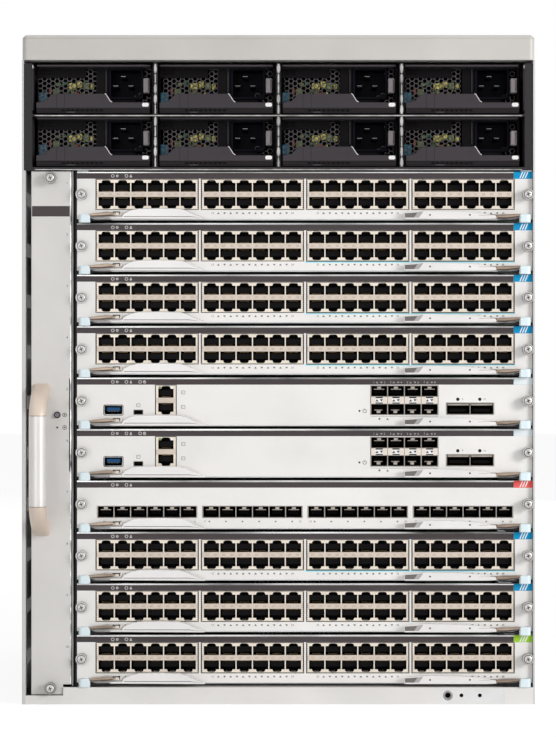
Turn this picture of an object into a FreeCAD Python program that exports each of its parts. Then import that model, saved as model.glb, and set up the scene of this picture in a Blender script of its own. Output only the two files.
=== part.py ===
import FreeCAD, Part
import math
import os

Vec = FreeCAD.Vector
TINY = 0.01                    # lengths nearer than this are the same

# Frame: origin under the middle of the chassis on its bottom face, +X to the right as seen
# from the front, -Y towards the front, +Z up. All lengths in millimetres.

# chassis
WIDTH = 442.0                  # over the side walls
HEIGHT = 577.0                 # thirteen rack units, less the running gap of a rack
DEPTH = 412.75                 # front plane to rear cover
SHEET = 1.5                    # chassis sheet
HEM_WIDTH = 3.0                # folded front edge of the left wall
HEM_DEPTH = 12.0
BEZEL_HEIGHT = 21.8
BEZEL_DEPTH = 16.0
BEZEL_CORNER = 5.0             # radius of the bezel's two ends
BEZEL_BEVEL = 2.5              # bevel along its top edge
BASE_HEIGHT = 15.0             # fascia below the lowest slot
BASE_FLANGE = 24.0             # return flange of the fascia
VENT_END = 13.0                # end of a wall's vent from the ends of the cards
VENT_HEIGHT = 12.0             # one long vent for each slot, in both walls and the partition
RUNNING_GAP = 0.3              # between a sliding or turning piece and its seat
REAR_DUCT = 53.75              # free space between the backplane and the rear cover

# slots
SLOTS = 10
SUPERVISOR_SLOTS = (5, 6)      # counted from the top
FIBRE_SLOT = 7
FACE_SETBACK = 4.0             # faceplates behind the chassis front plane
CARD_SIDE_GAP = 0.3            # faceplate to the right wall
FACE_LOW = 2.2                 # bottom edge of a faceplate above its slot's floor
FACE_TOP_GAP = 0.35            # top edge of a faceplate below the next slot
FACE_SHEET = 1.5
FACE_FLANGE = 8.0              # return flange along the top edge
TRAY_SHEET = 1.2
TRAY_INSET = 1.6               # tray sides inside the faceplate ends
BOARD = 1.6                    # circuit board thickness
GUIDE_LOW = 0.8                # card-guide ledge above the slot's floor
GUIDE_HEIGHT = 1.3
GUIDE_REACH = 4.0              # ledge sticks out this far into the slot
GUIDE_GAP = 1.0                # front end of the guides behind the faceplates
PARTITION_GAP = 0.5            # faceplate end to the partition
MATE_GAP = 0.3                 # card connector to backplane connector
CONNECTOR_LENGTH = 250.0       # backplane connector, across the slot
CONNECTOR_HEIGHT = 14.0
CONNECTOR_DEPTH = 12.0
SINK_WIDTH = 90.0
SINK_DEPTH = 80.0
SINK_HEIGHT = 18.0

# ganged jacks
BLOCKS = 4
BLOCK_INSET_LEFT = 16.4        # first block from the faceplate's left end
BLOCK_INSET_RIGHT = 15.6       # last block from its right end
BLOCK_SPACE = 2.4              # between two blocks
BLOCK_DEPTH = 26.0
BLOCK_HEIGHT = 25.8
BLOCK_TOP_GAP = 6.85           # top of a block below the next slot
BLOCK_GAP = 0.2                # block to the edge of its window
JACK_COLUMNS = 6
JACK_MARGIN = 3.48             # block's width beyond its jacks' pitches
JACK_WEB = 1.77                # wall between two jacks
JACK_HEIGHT = 7.4
JACK_DEPTH = 14.0
LIGHT_STRIP = 4.8              # bar between the upper and the lower jacks
STRIP_PROUD = 0.8              # the bar stands in front of the jacks' shield by this much
KEYWAY_HEIGHT = 2.4            # the mouth narrows towards the groove for the plug's clip
KEYWAY_WIDTH = 6.3

# small cages, serial ports and wide cages
CAGE_MARGIN = 2.7              # block's width beyond its cages' pitches
CAGE_WEB = 0.9                 # wall between two cages
CAGE_HEIGHT = 8.2
CAGE_DEPTH = 22.0
CAGE_WALL = 1.3
FIBRE_CAGE_LIFT = 1.4          # fibre cages above the circuit board
STACK_INSET = 139.5            # supervisor's small cages, from the faceplate's right end
STACK_COLUMNS = 4
STACK_LIFT = 1.2               # lower row above the circuit board
STACK_STEP = 15.3              # lower row to upper row
WIDE_INSET = 74.7              # pair of wide cages, from the faceplate's right end
WIDE_WIDTH = 18.4
WIDE_HEIGHT = 8.7
WIDE_WALL = 1.0
WIDE_SPACE = 1.0               # between the two wide cages
CONSOLE_INSET = 67.8           # two stacked console jacks, from the faceplate's left end
CONSOLE_WIDTH = 18.0
SERIAL_INSET = 23.4
SERIAL_WIDTH = 16.3
SERIAL_HEIGHT = 8.4
SERIAL_TONGUE = 2.0
MINI_INSET = 48.7
MINI_WIDTH = 8.6
MINI_HEIGHT = 4.6
PORT_WALL = 0.8
PORT_DEPTH = 14.0
PORT_LIFT = 0.3                # supervisor's other ports above the circuit board
RESET_SPACE = 9.8              # reset hole to the small cages
RESET_LIFT = 3.7
RESET_HOLE = 1.6

# captive screws
SCREW_SIDES = 8                # flats of a knurled head
SCREW_RADIUS = 3.6
SCREW_LENGTH = 9.0
CARD_SCREW_INSET = 4.4         # screw axis from the faceplate's end
CARD_SCREW_HEIGHT = 24.3       # above the slot's floor

# ejector levers
LEVER_LOW = 1.9                # above the slot's floor
LEVER_HEIGHT = 5.2
LEVER_HALF = 3.3               # half the depth of the pivot block
LEVER_INSET = 4.2              # pivot from the faceplate's end
LEVER_LENGTH = 107.0           # pivot to tip
LEVER_BLOCK = 24.0             # pivot to the end of the thick part
LEVER_NOTCH = 2.6              # depth of the catch notch behind the thick part
LEVER_ARM = 3.2                # depth of the long arm
LEVER_TIP = 16.0               # finger scoop at the end of the arm

# fan tray
TRAY_INSET_LEFT = 7.8          # front plate from the chassis's left side
TRAY_FACE_WIDTH = 34.6
TRAY_CARD_GAP = 4.6            # front plate to the ends of the faceplates
TRAY_SETBACK = 2.0             # front plate behind the chassis front plane
TRAY_LOW = 8.2                 # low edge of the front plate
TRAY_STEP_HEIGHT = 8.7         # corner of the plate left out above the fascia's tab
TRAY_STEP_WIDTH = 7.2
TRAY_TOP_GAP = 0.5
TRAY_FACE = 2.0
TRAY_FRAME = 1.5               # sheet of the tray behind its front plate
TRAY_SIDE_INSET = 3.0          # its side sheet inside the front plate's left edge
TRAY_REAR_REACH = 4.0          # its rear end behind the ends of the cards
TRAY_SCREW_INSET = 17.0        # captive screws from the front plate's left edge
TRAY_SCREW_END = 5.5           # and from its upper and lower ends
RUNNER_WIDTH = 20.0            # rail under the tray
FAN_SIZE = 120.0
FAN_THICKNESS = 25.0
FAN_ROWS = 3
FAN_COLUMNS = 2
FAN_FIRST = 24.0               # front plate to the first fan
FAN_GAP = 12.0                 # between the fans of a row
FAN_WINDOW = 108.0             # opening in the tray's sheet at each fan
FAN_BORE = 57.0
FAN_SIDES = 8                  # flats of a fan's bore
FAN_HUB = 21.0
FAN_ROOT = 17.0                # blades start inside the hub
FAN_BLADES = 5
FAN_BLADE_TIP = 51.0
FAN_BLADE_SHEET = 2.0
FAN_BLADE_ANGLE = 35.0
FAN_STRUT = 4.0

# pull handle of the fan tray
GRIP_INSET = 8.8               # grip's axis from the front plate's left edge
GRIP_BELOW = 23.2              # middle of the grip below the middle of the front plate
GRIP_LENGTH = 77.5
GRIP_RADIUS = 7.5
GRIP_STANDOFF = 32.0           # front plate to the grip's axis
CASTING_WIDTH = 14.0
CASTING_LENGTH = 27.0          # up or down the plate from the grip's end
CASTING_FOOT = 12.0
CASTING_NOSE = 6.0             # straight part of a casting in front of the grip

# beacon button
BEACON_INSET = 22.4            # from the front plate's left edge, level with the grip's end
BEACON_RADIUS = 2.6
BEACON_HOLE = 2.9
BEACON_PROUD = 2.5
BEACON_LENGTH = 9.0
BEACON_TRAVEL = 1.5

# power cage and power supplies
POWER_ROWS = 2
POWER_COLUMNS = 4
SHELF_GAP = 0.5                # slots to the lower shelf
LOWER_SHELF = 3.0
MIDDLE_SHELF = 1.6
BAY_HEIGHT = 43.9
BAY_TOP_GAP = 2.8              # upper bays to the bezel
DIVIDER = 1.6
POST_WIDTH = 7.2               # post between the outer bays and a side wall
POST_DEPTH = 20.0
EXHAUST_WIDTH = 50.0           # window in the rear cover behind each supply
EXHAUST_HEIGHT = 29.6
SHELF_SETBACK = 1.0
SUPPLY_SIDE_SPACE = 4.55       # bay's pitch beyond the housing's width
SUPPLY_TOP_GAP = 2.4           # bay's height beyond the housing's
SUPPLY_SETBACK = 22.0          # housing face behind the chassis front plane
EXHAUST_DUCT = 65.75           # housing's rear to the rear of the chassis
INLET_INSET = 9.4              # from the housing's right side
INLET_WIDTH = 31.4
INLET_LOW = 10.9               # above the housing's underside
INLET_HEIGHT = 29.6
INLET_DEPTH = 24.0
INLET_PROUD = 1.5
INLET_WALL = 2.7
INLET_FLOOR = 4.0
PIN_WIDTH = 8.0
PIN_THICKNESS = 2.0
PIN_SPREAD = 14.0
PIN_LIFT = 8.2                 # earth pin above the other two
PIN_LOW = 7.0                  # lower pins above the inlet's inner edge
PIN_SHORT = 3.0                # pins end behind the inlet's mouth
GRILLE_LEFT = 2.0
GRILLE_SPACE = 7.8             # grille to the inlet
GRILLE_LOW = 18.5
GRILLE_SLOT = 3.2
GRILLE_PITCH = 4.6
GRILLE_SLOTS = 3
GRILLE_DEPTH = 3.0
WINDOW_LEFT = 4.3
WINDOW_WIDTH = 38.8
WINDOW_HEIGHT = 7.0
WINDOW_TOP_GAP = 3.8
WINDOW_DEPTH = 1.0
PULL_SHEET = 2.0
PULL_LOW = 4.6                 # pull's ledge above the housing's underside
PULL_LEFT = 1.4
PULL_RIGHT_INSET = 2.6
PULL_PROUD = 1.0               # pull in front of the chassis front plane
PULL_SHOULDER = 2.2            # flange height at the left end
PULL_HIGH = 10.6               # flange height in the middle
PULL_STEP = 4.3                # flange height at the right end
PULL_SLOPE = 13.2
PULL_DROP = 4.7                # slope down to the lower part, which starts below the inlet
LATCH_INSET = 3.4              # from the housing's right side
LATCH_WIDTH = 5.2
LATCH_LOW = 17.7
LATCH_HEIGHT = 12.1
LATCH_PROUD = 9.0
LATCH_STEM = 1.8
LATCH_STEM_DEPTH = 12.0
LATCH_STEM_INSET = 2.3         # stem above the latch's low edge and below its top
LATCH_STEM_AT = 3.4            # stem from the latch's left side
LATCH_TRAVEL = 3.0

# base fascia's fittings
LUG_HOLE = 1.7
LUG_SPACING = 15.875
LUG_INSET = 53.9               # middle of the pair from the right wall
FITTING_HEIGHT = 7.7
EARTH_JACK = 2.5
EARTH_JACK_SPACE = 19.6        # left of the middle of the pair
FASCIA_SHEET = 2.5

# places that follow from the sizes above
FRONT = -DEPTH / 2
REAR = DEPTH / 2
INNER = WIDTH / 2 - SHEET
BEZEL_Z = HEIGHT - BEZEL_HEIGHT
ROOF_Z = HEIGHT - SHEET
BAY_STEP = BAY_HEIGHT + MIDDLE_SHELF
BAY_Z = BEZEL_Z - BAY_TOP_GAP - BAY_HEIGHT - (POWER_ROWS - 1) * BAY_STEP
SHELF_Z = BAY_Z - LOWER_SHELF
SLOT_PITCH = (SHELF_Z - SHELF_GAP - BASE_HEIGHT) / SLOTS      # one rack unit
FACE_Y = FRONT + FACE_SETBACK
BACKPLANE_Y = REAR - SHEET - REAR_DUCT - BOARD * 2
MATE_Y = BACKPLANE_Y - CONNECTOR_DEPTH - MATE_GAP
CARD_REAR = MATE_Y - CONNECTOR_DEPTH
TRAY_LEFT = -WIDTH / 2 + TRAY_INSET_LEFT
TRAY_RIGHT = TRAY_LEFT + TRAY_FACE_WIDTH
TRAY_FACE_Y = FRONT + TRAY_SETBACK
TRAY_TOP = SHELF_Z - TRAY_TOP_GAP
TRAY_INNER_LEFT = TRAY_LEFT + TRAY_SIDE_INSET
TRAY_FRAME_LOW = TRAY_LOW + TRAY_STEP_HEIGHT
TRAY_REAR = CARD_REAR + TRAY_REAR_REACH
GRIP_X = TRAY_LEFT + GRIP_INSET
GRIP_LOW = (TRAY_LOW + TRAY_TOP) / 2 - GRIP_BELOW - GRIP_LENGTH / 2
BEACON_X = TRAY_LEFT + BEACON_INSET
BEACON_Z = GRIP_LOW + GRIP_LENGTH
CARD_LEFT = TRAY_RIGHT + TRAY_CARD_GAP
CARD_RIGHT = INNER - CARD_SIDE_GAP
PARTITION_X = CARD_LEFT - PARTITION_GAP
BLOCK_LEFT = CARD_LEFT + BLOCK_INSET_LEFT
BLOCK_PITCH = (CARD_RIGHT - BLOCK_INSET_RIGHT - BLOCK_LEFT + BLOCK_SPACE) / BLOCKS
BLOCK_WIDTH = BLOCK_PITCH - BLOCK_SPACE
BLOCK_MIDDLE = SLOT_PITCH - BLOCK_TOP_GAP - BLOCK_HEIGHT / 2
JACK_PITCH = (BLOCK_WIDTH - JACK_MARGIN) / JACK_COLUMNS
JACK_WIDTH = JACK_PITCH - JACK_WEB
CAGE_PITCH = (BLOCK_WIDTH - CAGE_MARGIN) / JACK_COLUMNS
CAGE_WIDTH = CAGE_PITCH - CAGE_WEB
BOARD_Z = BLOCK_MIDDLE - BLOCK_HEIGHT / 2 - BOARD
BOARD_TOP = BOARD_Z + BOARD
TRAY_FLOOR_Z = GUIDE_LOW + GUIDE_HEIGHT + RUNNING_GAP
GUIDE_Y = FACE_Y + FACE_SHEET + GUIDE_GAP
BAY_PITCH = (INNER - POST_WIDTH) * 2 / POWER_COLUMNS
SUPPLY_WIDTH = BAY_PITCH - SUPPLY_SIDE_SPACE
SUPPLY_HEIGHT = BAY_HEIGHT - SUPPLY_TOP_GAP
SUPPLY_Y = FRONT + SUPPLY_SETBACK
SUPPLY_REAR = REAR - EXHAUST_DUCT
INLET_LEFT = SUPPLY_WIDTH - INLET_INSET - INLET_WIDTH
LATCH_LEFT = SUPPLY_WIDTH - LATCH_INSET - LATCH_WIDTH
CAGE_REAR = SUPPLY_REAR + MATE_GAP + BOARD
LUG_X = INNER - LUG_INSET


def box(x0, x1, y0, y1, z0, z1):
    return Part.makeBox(x1 - x0, y1 - y0, z1 - z0, Vec(x0, y0, z0))


def prism(points, along):
    """A flat outline pushed along a vector."""
    wire = Part.makePolygon(points + points[:1])
    return Part.Face(wire).extrude(along)


def outline_xz(points, y, depth):
    return prism([Vec(x, y, z) for x, z in points], Vec(0, depth, 0))


def outline_xy(points, z, height):
    return prism([Vec(x, y, z) for x, y in points], Vec(0, 0, height))


def outline_yz(points, x, width):
    return prism([Vec(x, y, z) for y, z in points], Vec(width, 0, 0))


def save(name, solids):
    shape = solids[0] if len(solids) == 1 else Part.makeCompound(solids)
    shape.exportStep("parts/" + name + ".step")


def slot_floor(slot):
    """Height of a slot's floor; slot 1 is at the top."""
    return BASE_HEIGHT + (SLOTS - slot) * SLOT_PITCH


# ---------------------------------------------------------------- chassis

def wall_vents(x0, x1):
    """One long cut for each slot of the card cage, through a wall."""
    vents = []
    for slot in range(1, SLOTS + 1):
        z = slot_floor(slot) + (SLOT_PITCH - VENT_HEIGHT) / 2
        vents.append(box(x0, x1, FACE_Y + VENT_END, CARD_REAR - VENT_END, z, z + VENT_HEIGHT))
    return vents


def side_wall(x0, x1):
    """A side wall, cut away at its upper front corner for the bezel."""
    outline = [
        (FRONT, 0.0),
        (REAR, 0.0),
        (REAR, ROOF_Z),
        (FRONT + BEZEL_DEPTH, ROOF_Z),
        (FRONT + BEZEL_DEPTH, BEZEL_Z),
        (FRONT, BEZEL_Z),
    ]
    return outline_yz(outline, x0, x1 - x0)


def left_side():
    wall = side_wall(-WIDTH / 2, -INNER)
    hem = box(-INNER, -WIDTH / 2 + HEM_WIDTH, FRONT, FRONT + HEM_DEPTH, 0.0, SHELF_Z)
    wall = wall.fuse(hem).removeSplitter()
    return wall.cut(wall_vents(-WIDTH / 2, -INNER))


def right_side():
    wall = side_wall(INNER, WIDTH / 2)
    return wall.cut(wall_vents(INNER, WIDTH / 2))


def floor_pan():
    return box(-INNER, INNER, FRONT + HEM_DEPTH, REAR - SHEET, 0.0, SHEET)


def top_cover():
    return box(-WIDTH / 2, WIDTH / 2, FRONT + BEZEL_DEPTH, REAR, ROOF_Z, HEIGHT)


def rear_cover():
    """Flat rear cover with an exhaust window behind each power supply."""
    cover = box(-INNER, INNER, REAR - SHEET, REAR, 0.0, ROOF_Z)
    low = BAY_Z + (BAY_HEIGHT - EXHAUST_HEIGHT) / 2
    windows = []
    for column in range(POWER_COLUMNS):
        left = bay_left(column) + (SUPPLY_WIDTH - EXHAUST_WIDTH) / 2
        right = left + EXHAUST_WIDTH
        for row in range(POWER_ROWS):
            z = low + row * BAY_STEP
            windows.append(box(left, right, REAR - SHEET, REAR, z, z + EXHAUST_HEIGHT))
    return cover.cut(windows)


def front_edges(body, wanted):
    """Edges of a body that lie in the chassis front plane and are wanted."""
    corners = [(edge, edge.BoundBox) for edge in body.Edges if wanted(edge)]
    return [edge for edge, bounds in corners if bounds.YMax < FRONT + TINY]


def top_bezel():
    """Full-width bezel with rounded ends and a bevelled top edge."""
    half = WIDTH / 2
    body = box(-half, half, FRONT, FRONT + BEZEL_DEPTH, BEZEL_Z, HEIGHT)
    body = body.makeChamfer(BEZEL_BEVEL, front_edges(body, lambda edge: edge.CenterOfMass.z > ROOF_Z))
    ends = front_edges(body, lambda edge: abs(edge.CenterOfMass.x) > INNER)
    return body.makeFillet(BEZEL_CORNER, ends)


def base_fascia():
    """Folded fascia: front plate with a low end under the fan tray, and a return flange."""
    step_x = TRAY_RIGHT - TRAY_STEP_WIDTH + RUNNING_GAP
    low = TRAY_LOW - RUNNING_GAP * 2
    high = BASE_HEIGHT - RUNNING_GAP
    left = -WIDTH / 2 + HEM_WIDTH
    outline = [
        (left, 0.0),
        (INNER, 0.0),
        (INNER, high),
        (step_x, high),
        (step_x, low),
        (left, low),
    ]
    plate = outline_xz(outline, FRONT, FASCIA_SHEET)
    flange = box(CARD_LEFT, INNER, FRONT + FASCIA_SHEET, FRONT + BASE_FLANGE, high - SHEET, high)
    plate = plate.fuse(flange).removeSplitter()
    holes = []
    for side in (-0.5, 0.5):
        place = Vec(LUG_X + side * LUG_SPACING, FRONT, FITTING_HEIGHT)
        holes.append(Part.makeCylinder(LUG_HOLE, FASCIA_SHEET, place, Vec(0, 1, 0)))
    place = Vec(LUG_X - EARTH_JACK_SPACE, FRONT, FITTING_HEIGHT)
    holes.append(Part.makeCylinder(EARTH_JACK, FASCIA_SHEET, place, Vec(0, 1, 0)))
    return plate.cut(holes)


def bay_left(column):
    """Left side of a power supply in a column counted from the left."""
    return (column - POWER_COLUMNS / 2) * BAY_PITCH + (BAY_PITCH - SUPPLY_WIDTH) / 2


def power_cage():
    """Two shelves, the dividers between the bays and a post at each side."""
    front = FRONT + SHELF_SETBACK
    middle = BAY_Z + BAY_HEIGHT
    pieces = [
        box(-INNER, INNER, front, CAGE_REAR, SHELF_Z, BAY_Z),
        box(-INNER, INNER, front, CAGE_REAR, middle, middle + MIDDLE_SHELF),
    ]
    half = DIVIDER / 2
    for row in range(POWER_ROWS):
        low = BAY_Z + row * BAY_STEP
        high = low + BAY_HEIGHT
        for column in range(1, POWER_COLUMNS):
            x = (column - POWER_COLUMNS / 2) * BAY_PITCH
            pieces.append(box(x - half, x + half, front, SUPPLY_REAR, low, high))
        for x in (-INNER, INNER - POST_WIDTH):
            pieces.append(box(x, x + POST_WIDTH, front, front + POST_DEPTH, low, high))
    return pieces


def card_cage():
    """Slotted partition with the left guides, a rail on the right wall for each slot, and the
    runner that carries the fan tray."""
    partition = box(PARTITION_X - SHEET, PARTITION_X, GUIDE_Y, BACKPLANE_Y, SHEET, SHELF_Z)
    partition = partition.cut(wall_vents(PARTITION_X - SHEET, PARTITION_X))
    guides = []
    rails = []
    for slot in range(1, SLOTS + 1):
        low = slot_floor(slot) + GUIDE_LOW
        top = low + GUIDE_HEIGHT
        guides.append(box(PARTITION_X, PARTITION_X + GUIDE_REACH, GUIDE_Y, CARD_REAR, low, top))
        rails.append(box(INNER - GUIDE_REACH, INNER, GUIDE_Y, CARD_REAR, low, top))
    runner = box(TRAY_INNER_LEFT, TRAY_INNER_LEFT + RUNNER_WIDTH, GUIDE_Y, REAR - SHEET,
                 SHEET, TRAY_FRAME_LOW - RUNNING_GAP)
    return [partition.fuse(guides).removeSplitter(), runner] + rails


def backplane():
    """Main board with a connector for each slot, and the board behind the power supplies."""
    pieces = [
        box(PARTITION_X, INNER, BACKPLANE_Y, BACKPLANE_Y + BOARD * 2, BASE_HEIGHT, SHELF_Z),
        box(-INNER, INNER, SUPPLY_REAR + MATE_GAP, CAGE_REAR, BAY_Z, BAY_Z + BAY_HEIGHT),
    ]
    middle = (CARD_LEFT + CARD_RIGHT) / 2
    for slot in range(1, SLOTS + 1):
        low = slot_floor(slot) + BOARD_TOP
        pieces.append(
            box(middle - CONNECTOR_LENGTH / 2, middle + CONNECTOR_LENGTH / 2,
                MATE_Y + MATE_GAP, BACKPLANE_Y, low, low + CONNECTOR_HEIGHT))
    return pieces


# ---------------------------------------------------------------- cards

def knurled_screw(x, y, z):
    """Head of a captive screw, its back on the plane y."""
    ring = []
    for side in range(SCREW_SIDES):
        angle = 2 * math.pi * side / SCREW_SIDES
        ring.append((x + SCREW_RADIUS * math.cos(angle), z + SCREW_RADIUS * math.sin(angle)))
    return outline_xz(ring, y - SCREW_LENGTH, SCREW_LENGTH)


def faceplate(floor):
    """Front plate of a card with its return flange along the top."""
    low = floor + FACE_LOW
    top = floor + SLOT_PITCH - FACE_TOP_GAP
    outline = [
        (FACE_Y, low),
        (FACE_Y, top),
        (FACE_Y + FACE_FLANGE, top),
        (FACE_Y + FACE_FLANGE, top - FACE_SHEET),
        (FACE_Y + FACE_SHEET, top - FACE_SHEET),
        (FACE_Y + FACE_SHEET, low),
    ]
    return outline_yz(outline, CARD_LEFT, CARD_RIGHT - CARD_LEFT)


def window(left, right, low, high):
    """Cutter for an opening in a faceplate, larger than the piece in it all round."""
    gap = BLOCK_GAP
    return box(left - gap, right + gap, FACE_Y, FACE_Y + FACE_SHEET, low - gap, high + gap)


def card_base(floor):
    """Sheet tray, circuit board, heat sink and backplane connector, behind the faceplate."""
    left = CARD_LEFT + TRAY_INSET
    right = CARD_RIGHT - TRAY_INSET
    low = floor + TRAY_FLOOR_Z
    board = floor + BOARD_Z
    top = floor + BOARD_TOP
    front = FACE_Y + FACE_SHEET
    profile = [
        (left, low),
        (right, low),
        (right, board),
        (right - TRAY_SHEET, board),
        (right - TRAY_SHEET, low + TRAY_SHEET),
        (left + TRAY_SHEET, low + TRAY_SHEET),
        (left + TRAY_SHEET, board),
        (left, board),
    ]
    middle = (CARD_LEFT + CARD_RIGHT) / 2
    sink_y = (front + CARD_REAR) / 2
    return [
        outline_xz(profile, front, CARD_REAR - front),
        box(left, right, front, CARD_REAR, board, top),
        box(middle - SINK_WIDTH / 2, middle + SINK_WIDTH / 2, sink_y, sink_y + SINK_DEPTH,
            top, top + SINK_HEIGHT),
        box(middle - CONNECTOR_LENGTH / 2, middle + CONNECTOR_LENGTH / 2,
            CARD_REAR - CONNECTOR_DEPTH, MATE_Y, top, top + CONNECTOR_HEIGHT),
    ]


def card_screws(floor):
    z = floor + CARD_SCREW_HEIGHT
    return [
        knurled_screw(CARD_LEFT + CARD_SCREW_INSET, FACE_Y, z),
        knurled_screw(CARD_RIGHT - CARD_SCREW_INSET, FACE_Y, z),
    ]


def jack_pair(x, z):
    """Cutter for an upper and a lower jack, narrowing to a keyway at the top and at the bottom."""
    half = JACK_WIDTH / 2
    shoulder = LIGHT_STRIP / 2 + JACK_HEIGHT
    tip = shoulder + KEYWAY_HEIGHT
    outline = [
        (-half, -shoulder),
        (-KEYWAY_WIDTH / 2, -tip),
        (KEYWAY_WIDTH / 2, -tip),
        (half, -shoulder),
        (half, shoulder),
        (KEYWAY_WIDTH / 2, tip),
        (-KEYWAY_WIDTH / 2, tip),
        (-half, shoulder),
    ]
    points = [(x + u, z + v) for u, v in outline]
    return outline_xz(points, FACE_Y + STRIP_PROUD, JACK_DEPTH)


def jack_block(left, width, columns, floor):
    """Ganged jacks: shielded housing with its rows of jacks, and the light strip across them."""
    middle = floor + BLOCK_MIDDLE
    face = FACE_Y + STRIP_PROUD
    low = middle - BLOCK_HEIGHT / 2
    housing = box(left, left + width, face, face + BLOCK_DEPTH, low, low + BLOCK_HEIGHT)
    first = left + width / 2 - (columns - 1) * JACK_PITCH / 2
    jacks = [jack_pair(first + column * JACK_PITCH, middle) for column in range(columns)]
    half = LIGHT_STRIP / 2
    strip = box(left, left + width, FACE_Y, face, middle - half, middle + half)
    return [housing.cut(jacks), strip]


def copper_card(slot):
    floor = slot_floor(slot)
    middle = floor + BLOCK_MIDDLE
    low = middle - BLOCK_HEIGHT / 2
    blocks = []
    windows = []
    for index in range(BLOCKS):
        left = BLOCK_LEFT + index * BLOCK_PITCH
        blocks += jack_block(left, BLOCK_WIDTH, JACK_COLUMNS, floor)
        windows.append(window(left, left + BLOCK_WIDTH, low, low + BLOCK_HEIGHT))
    return [faceplate(floor).cut(windows)] + card_base(floor) + blocks + card_screws(floor)


def cage_bank(left, low, columns, rows, step, base):
    """Bank of small cages; base is where the bank stands on the circuit board."""
    right = left + columns * CAGE_PITCH
    top = low + (rows - 1) * step + CAGE_HEIGHT + CAGE_WALL
    inside = FACE_Y + CAGE_DEPTH
    bank = box(left, right, FACE_Y, inside + CAGE_WALL, base, top)
    cages = []
    for row in range(rows):
        z = low + row * step
        for column in range(columns):
            x = left + column * CAGE_PITCH + CAGE_WEB / 2
            cages.append(box(x, x + CAGE_WIDTH, FACE_Y, inside, z, z + CAGE_HEIGHT))
    return bank.cut(cages), window(left, right, base, top)


def fibre_card(slot):
    floor = slot_floor(slot)
    base = floor + BOARD_TOP
    banks = []
    windows = []
    for index in range(BLOCKS):
        left = BLOCK_LEFT + index * BLOCK_PITCH + CAGE_MARGIN / 2
        bank, hole = cage_bank(left, base + FIBRE_CAGE_LIFT, JACK_COLUMNS, 1, 0.0, base)
        banks.append(bank)
        windows.append(hole)
    return [faceplate(floor).cut(windows)] + card_base(floor) + banks + card_screws(floor)


def socket(left, width, low, height, wall, tongue=0.0):
    """A single port shell with an optional tongue across its middle."""
    right = left + width
    top = low + height
    inside = FACE_Y + PORT_DEPTH
    shell = box(left, right, FACE_Y, inside + wall, low, top)
    shell = shell.cut(box(left + wall, right - wall, FACE_Y, inside, low + wall, top - wall))
    if tongue:
        middle = low + height / 2
        shell = shell.fuse(
            box(left + wall * 2, right - wall * 2, FACE_Y + wall, inside, middle, middle + tongue))
    return shell, window(left, right, low, top)


def supervisor(slot):
    floor = slot_floor(slot)
    base = floor + BOARD_TOP
    low = base + PORT_LIFT
    stack_left = CARD_RIGHT - STACK_INSET
    parts = [
        cage_bank(stack_left, base + STACK_LIFT, STACK_COLUMNS, 2, STACK_STEP, base),
        socket(CARD_LEFT + SERIAL_INSET, SERIAL_WIDTH, low, SERIAL_HEIGHT, PORT_WALL, SERIAL_TONGUE),
        socket(CARD_LEFT + MINI_INSET, MINI_WIDTH, low, MINI_HEIGHT, PORT_WALL),
    ]
    wide = WIDE_WIDTH + 2 * WIDE_WALL
    for index in range(2):
        left = CARD_RIGHT - WIDE_INSET + index * (wide + WIDE_SPACE)
        parts.append(socket(left, wide, low, WIDE_HEIGHT + 2 * WIDE_WALL, WIDE_WALL))
    ports = [port for port, hole in parts]
    holes = [hole for port, hole in parts]
    left = CARD_LEFT + CONSOLE_INSET
    block_low = floor + BLOCK_MIDDLE - BLOCK_HEIGHT / 2
    ports += jack_block(left, CONSOLE_WIDTH, 1, floor)
    holes.append(window(left, left + CONSOLE_WIDTH, block_low, block_low + BLOCK_HEIGHT))
    half = RESET_HOLE / 2
    x = stack_left - RESET_SPACE
    z = base + RESET_LIFT
    holes.append(box(x - half, x + half, FACE_Y, FACE_Y + FACE_SHEET, z - half, z + half))
    return [faceplate(floor).cut(holes)] + card_base(floor) + ports + card_screws(floor)


def ejector(slot, side):
    """Ejector lever; side is 1 at the left end of the card and -1 at its right end."""
    pivot = CARD_LEFT + LEVER_INSET if side > 0 else CARD_RIGHT - LEVER_INSET
    y = FACE_Y - RUNNING_GAP - LEVER_HALF
    cut = LEVER_HALF * (2 - math.sqrt(2))
    outline = [
        (-LEVER_HALF, -LEVER_HALF + cut),
        (-LEVER_HALF + cut, -LEVER_HALF),
        (LEVER_BLOCK, -LEVER_HALF),
        (LEVER_LENGTH - LEVER_TIP, -LEVER_HALF),
        (LEVER_LENGTH, -LEVER_HALF + LEVER_ARM / 2),
        (LEVER_LENGTH, LEVER_HALF - LEVER_ARM / 2),
        (LEVER_LENGTH - LEVER_TIP, -LEVER_HALF + LEVER_ARM),
        (LEVER_BLOCK + LEVER_NOTCH, -LEVER_HALF + LEVER_ARM),
        (LEVER_BLOCK, LEVER_HALF),
        (-LEVER_HALF + cut, LEVER_HALF),
        (-LEVER_HALF, LEVER_HALF - cut),
    ]
    points = [(pivot + side * u, y + v) for u, v in outline]
    return outline_xy(points, slot_floor(slot) + LEVER_LOW, LEVER_HEIGHT)


# ---------------------------------------------------------------- fan tray

def fan_place(row, column):
    """Middle of a fan: its Y and Z."""
    y = TRAY_FACE_Y + TRAY_FACE + FAN_FIRST + FAN_SIZE / 2 + column * (FAN_SIZE + FAN_GAP)
    low = TRAY_FRAME_LOW + TRAY_FRAME
    step = (TRAY_TOP - TRAY_FRAME - low) / FAN_ROWS
    return y, low + (row + 0.5) * step


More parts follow.
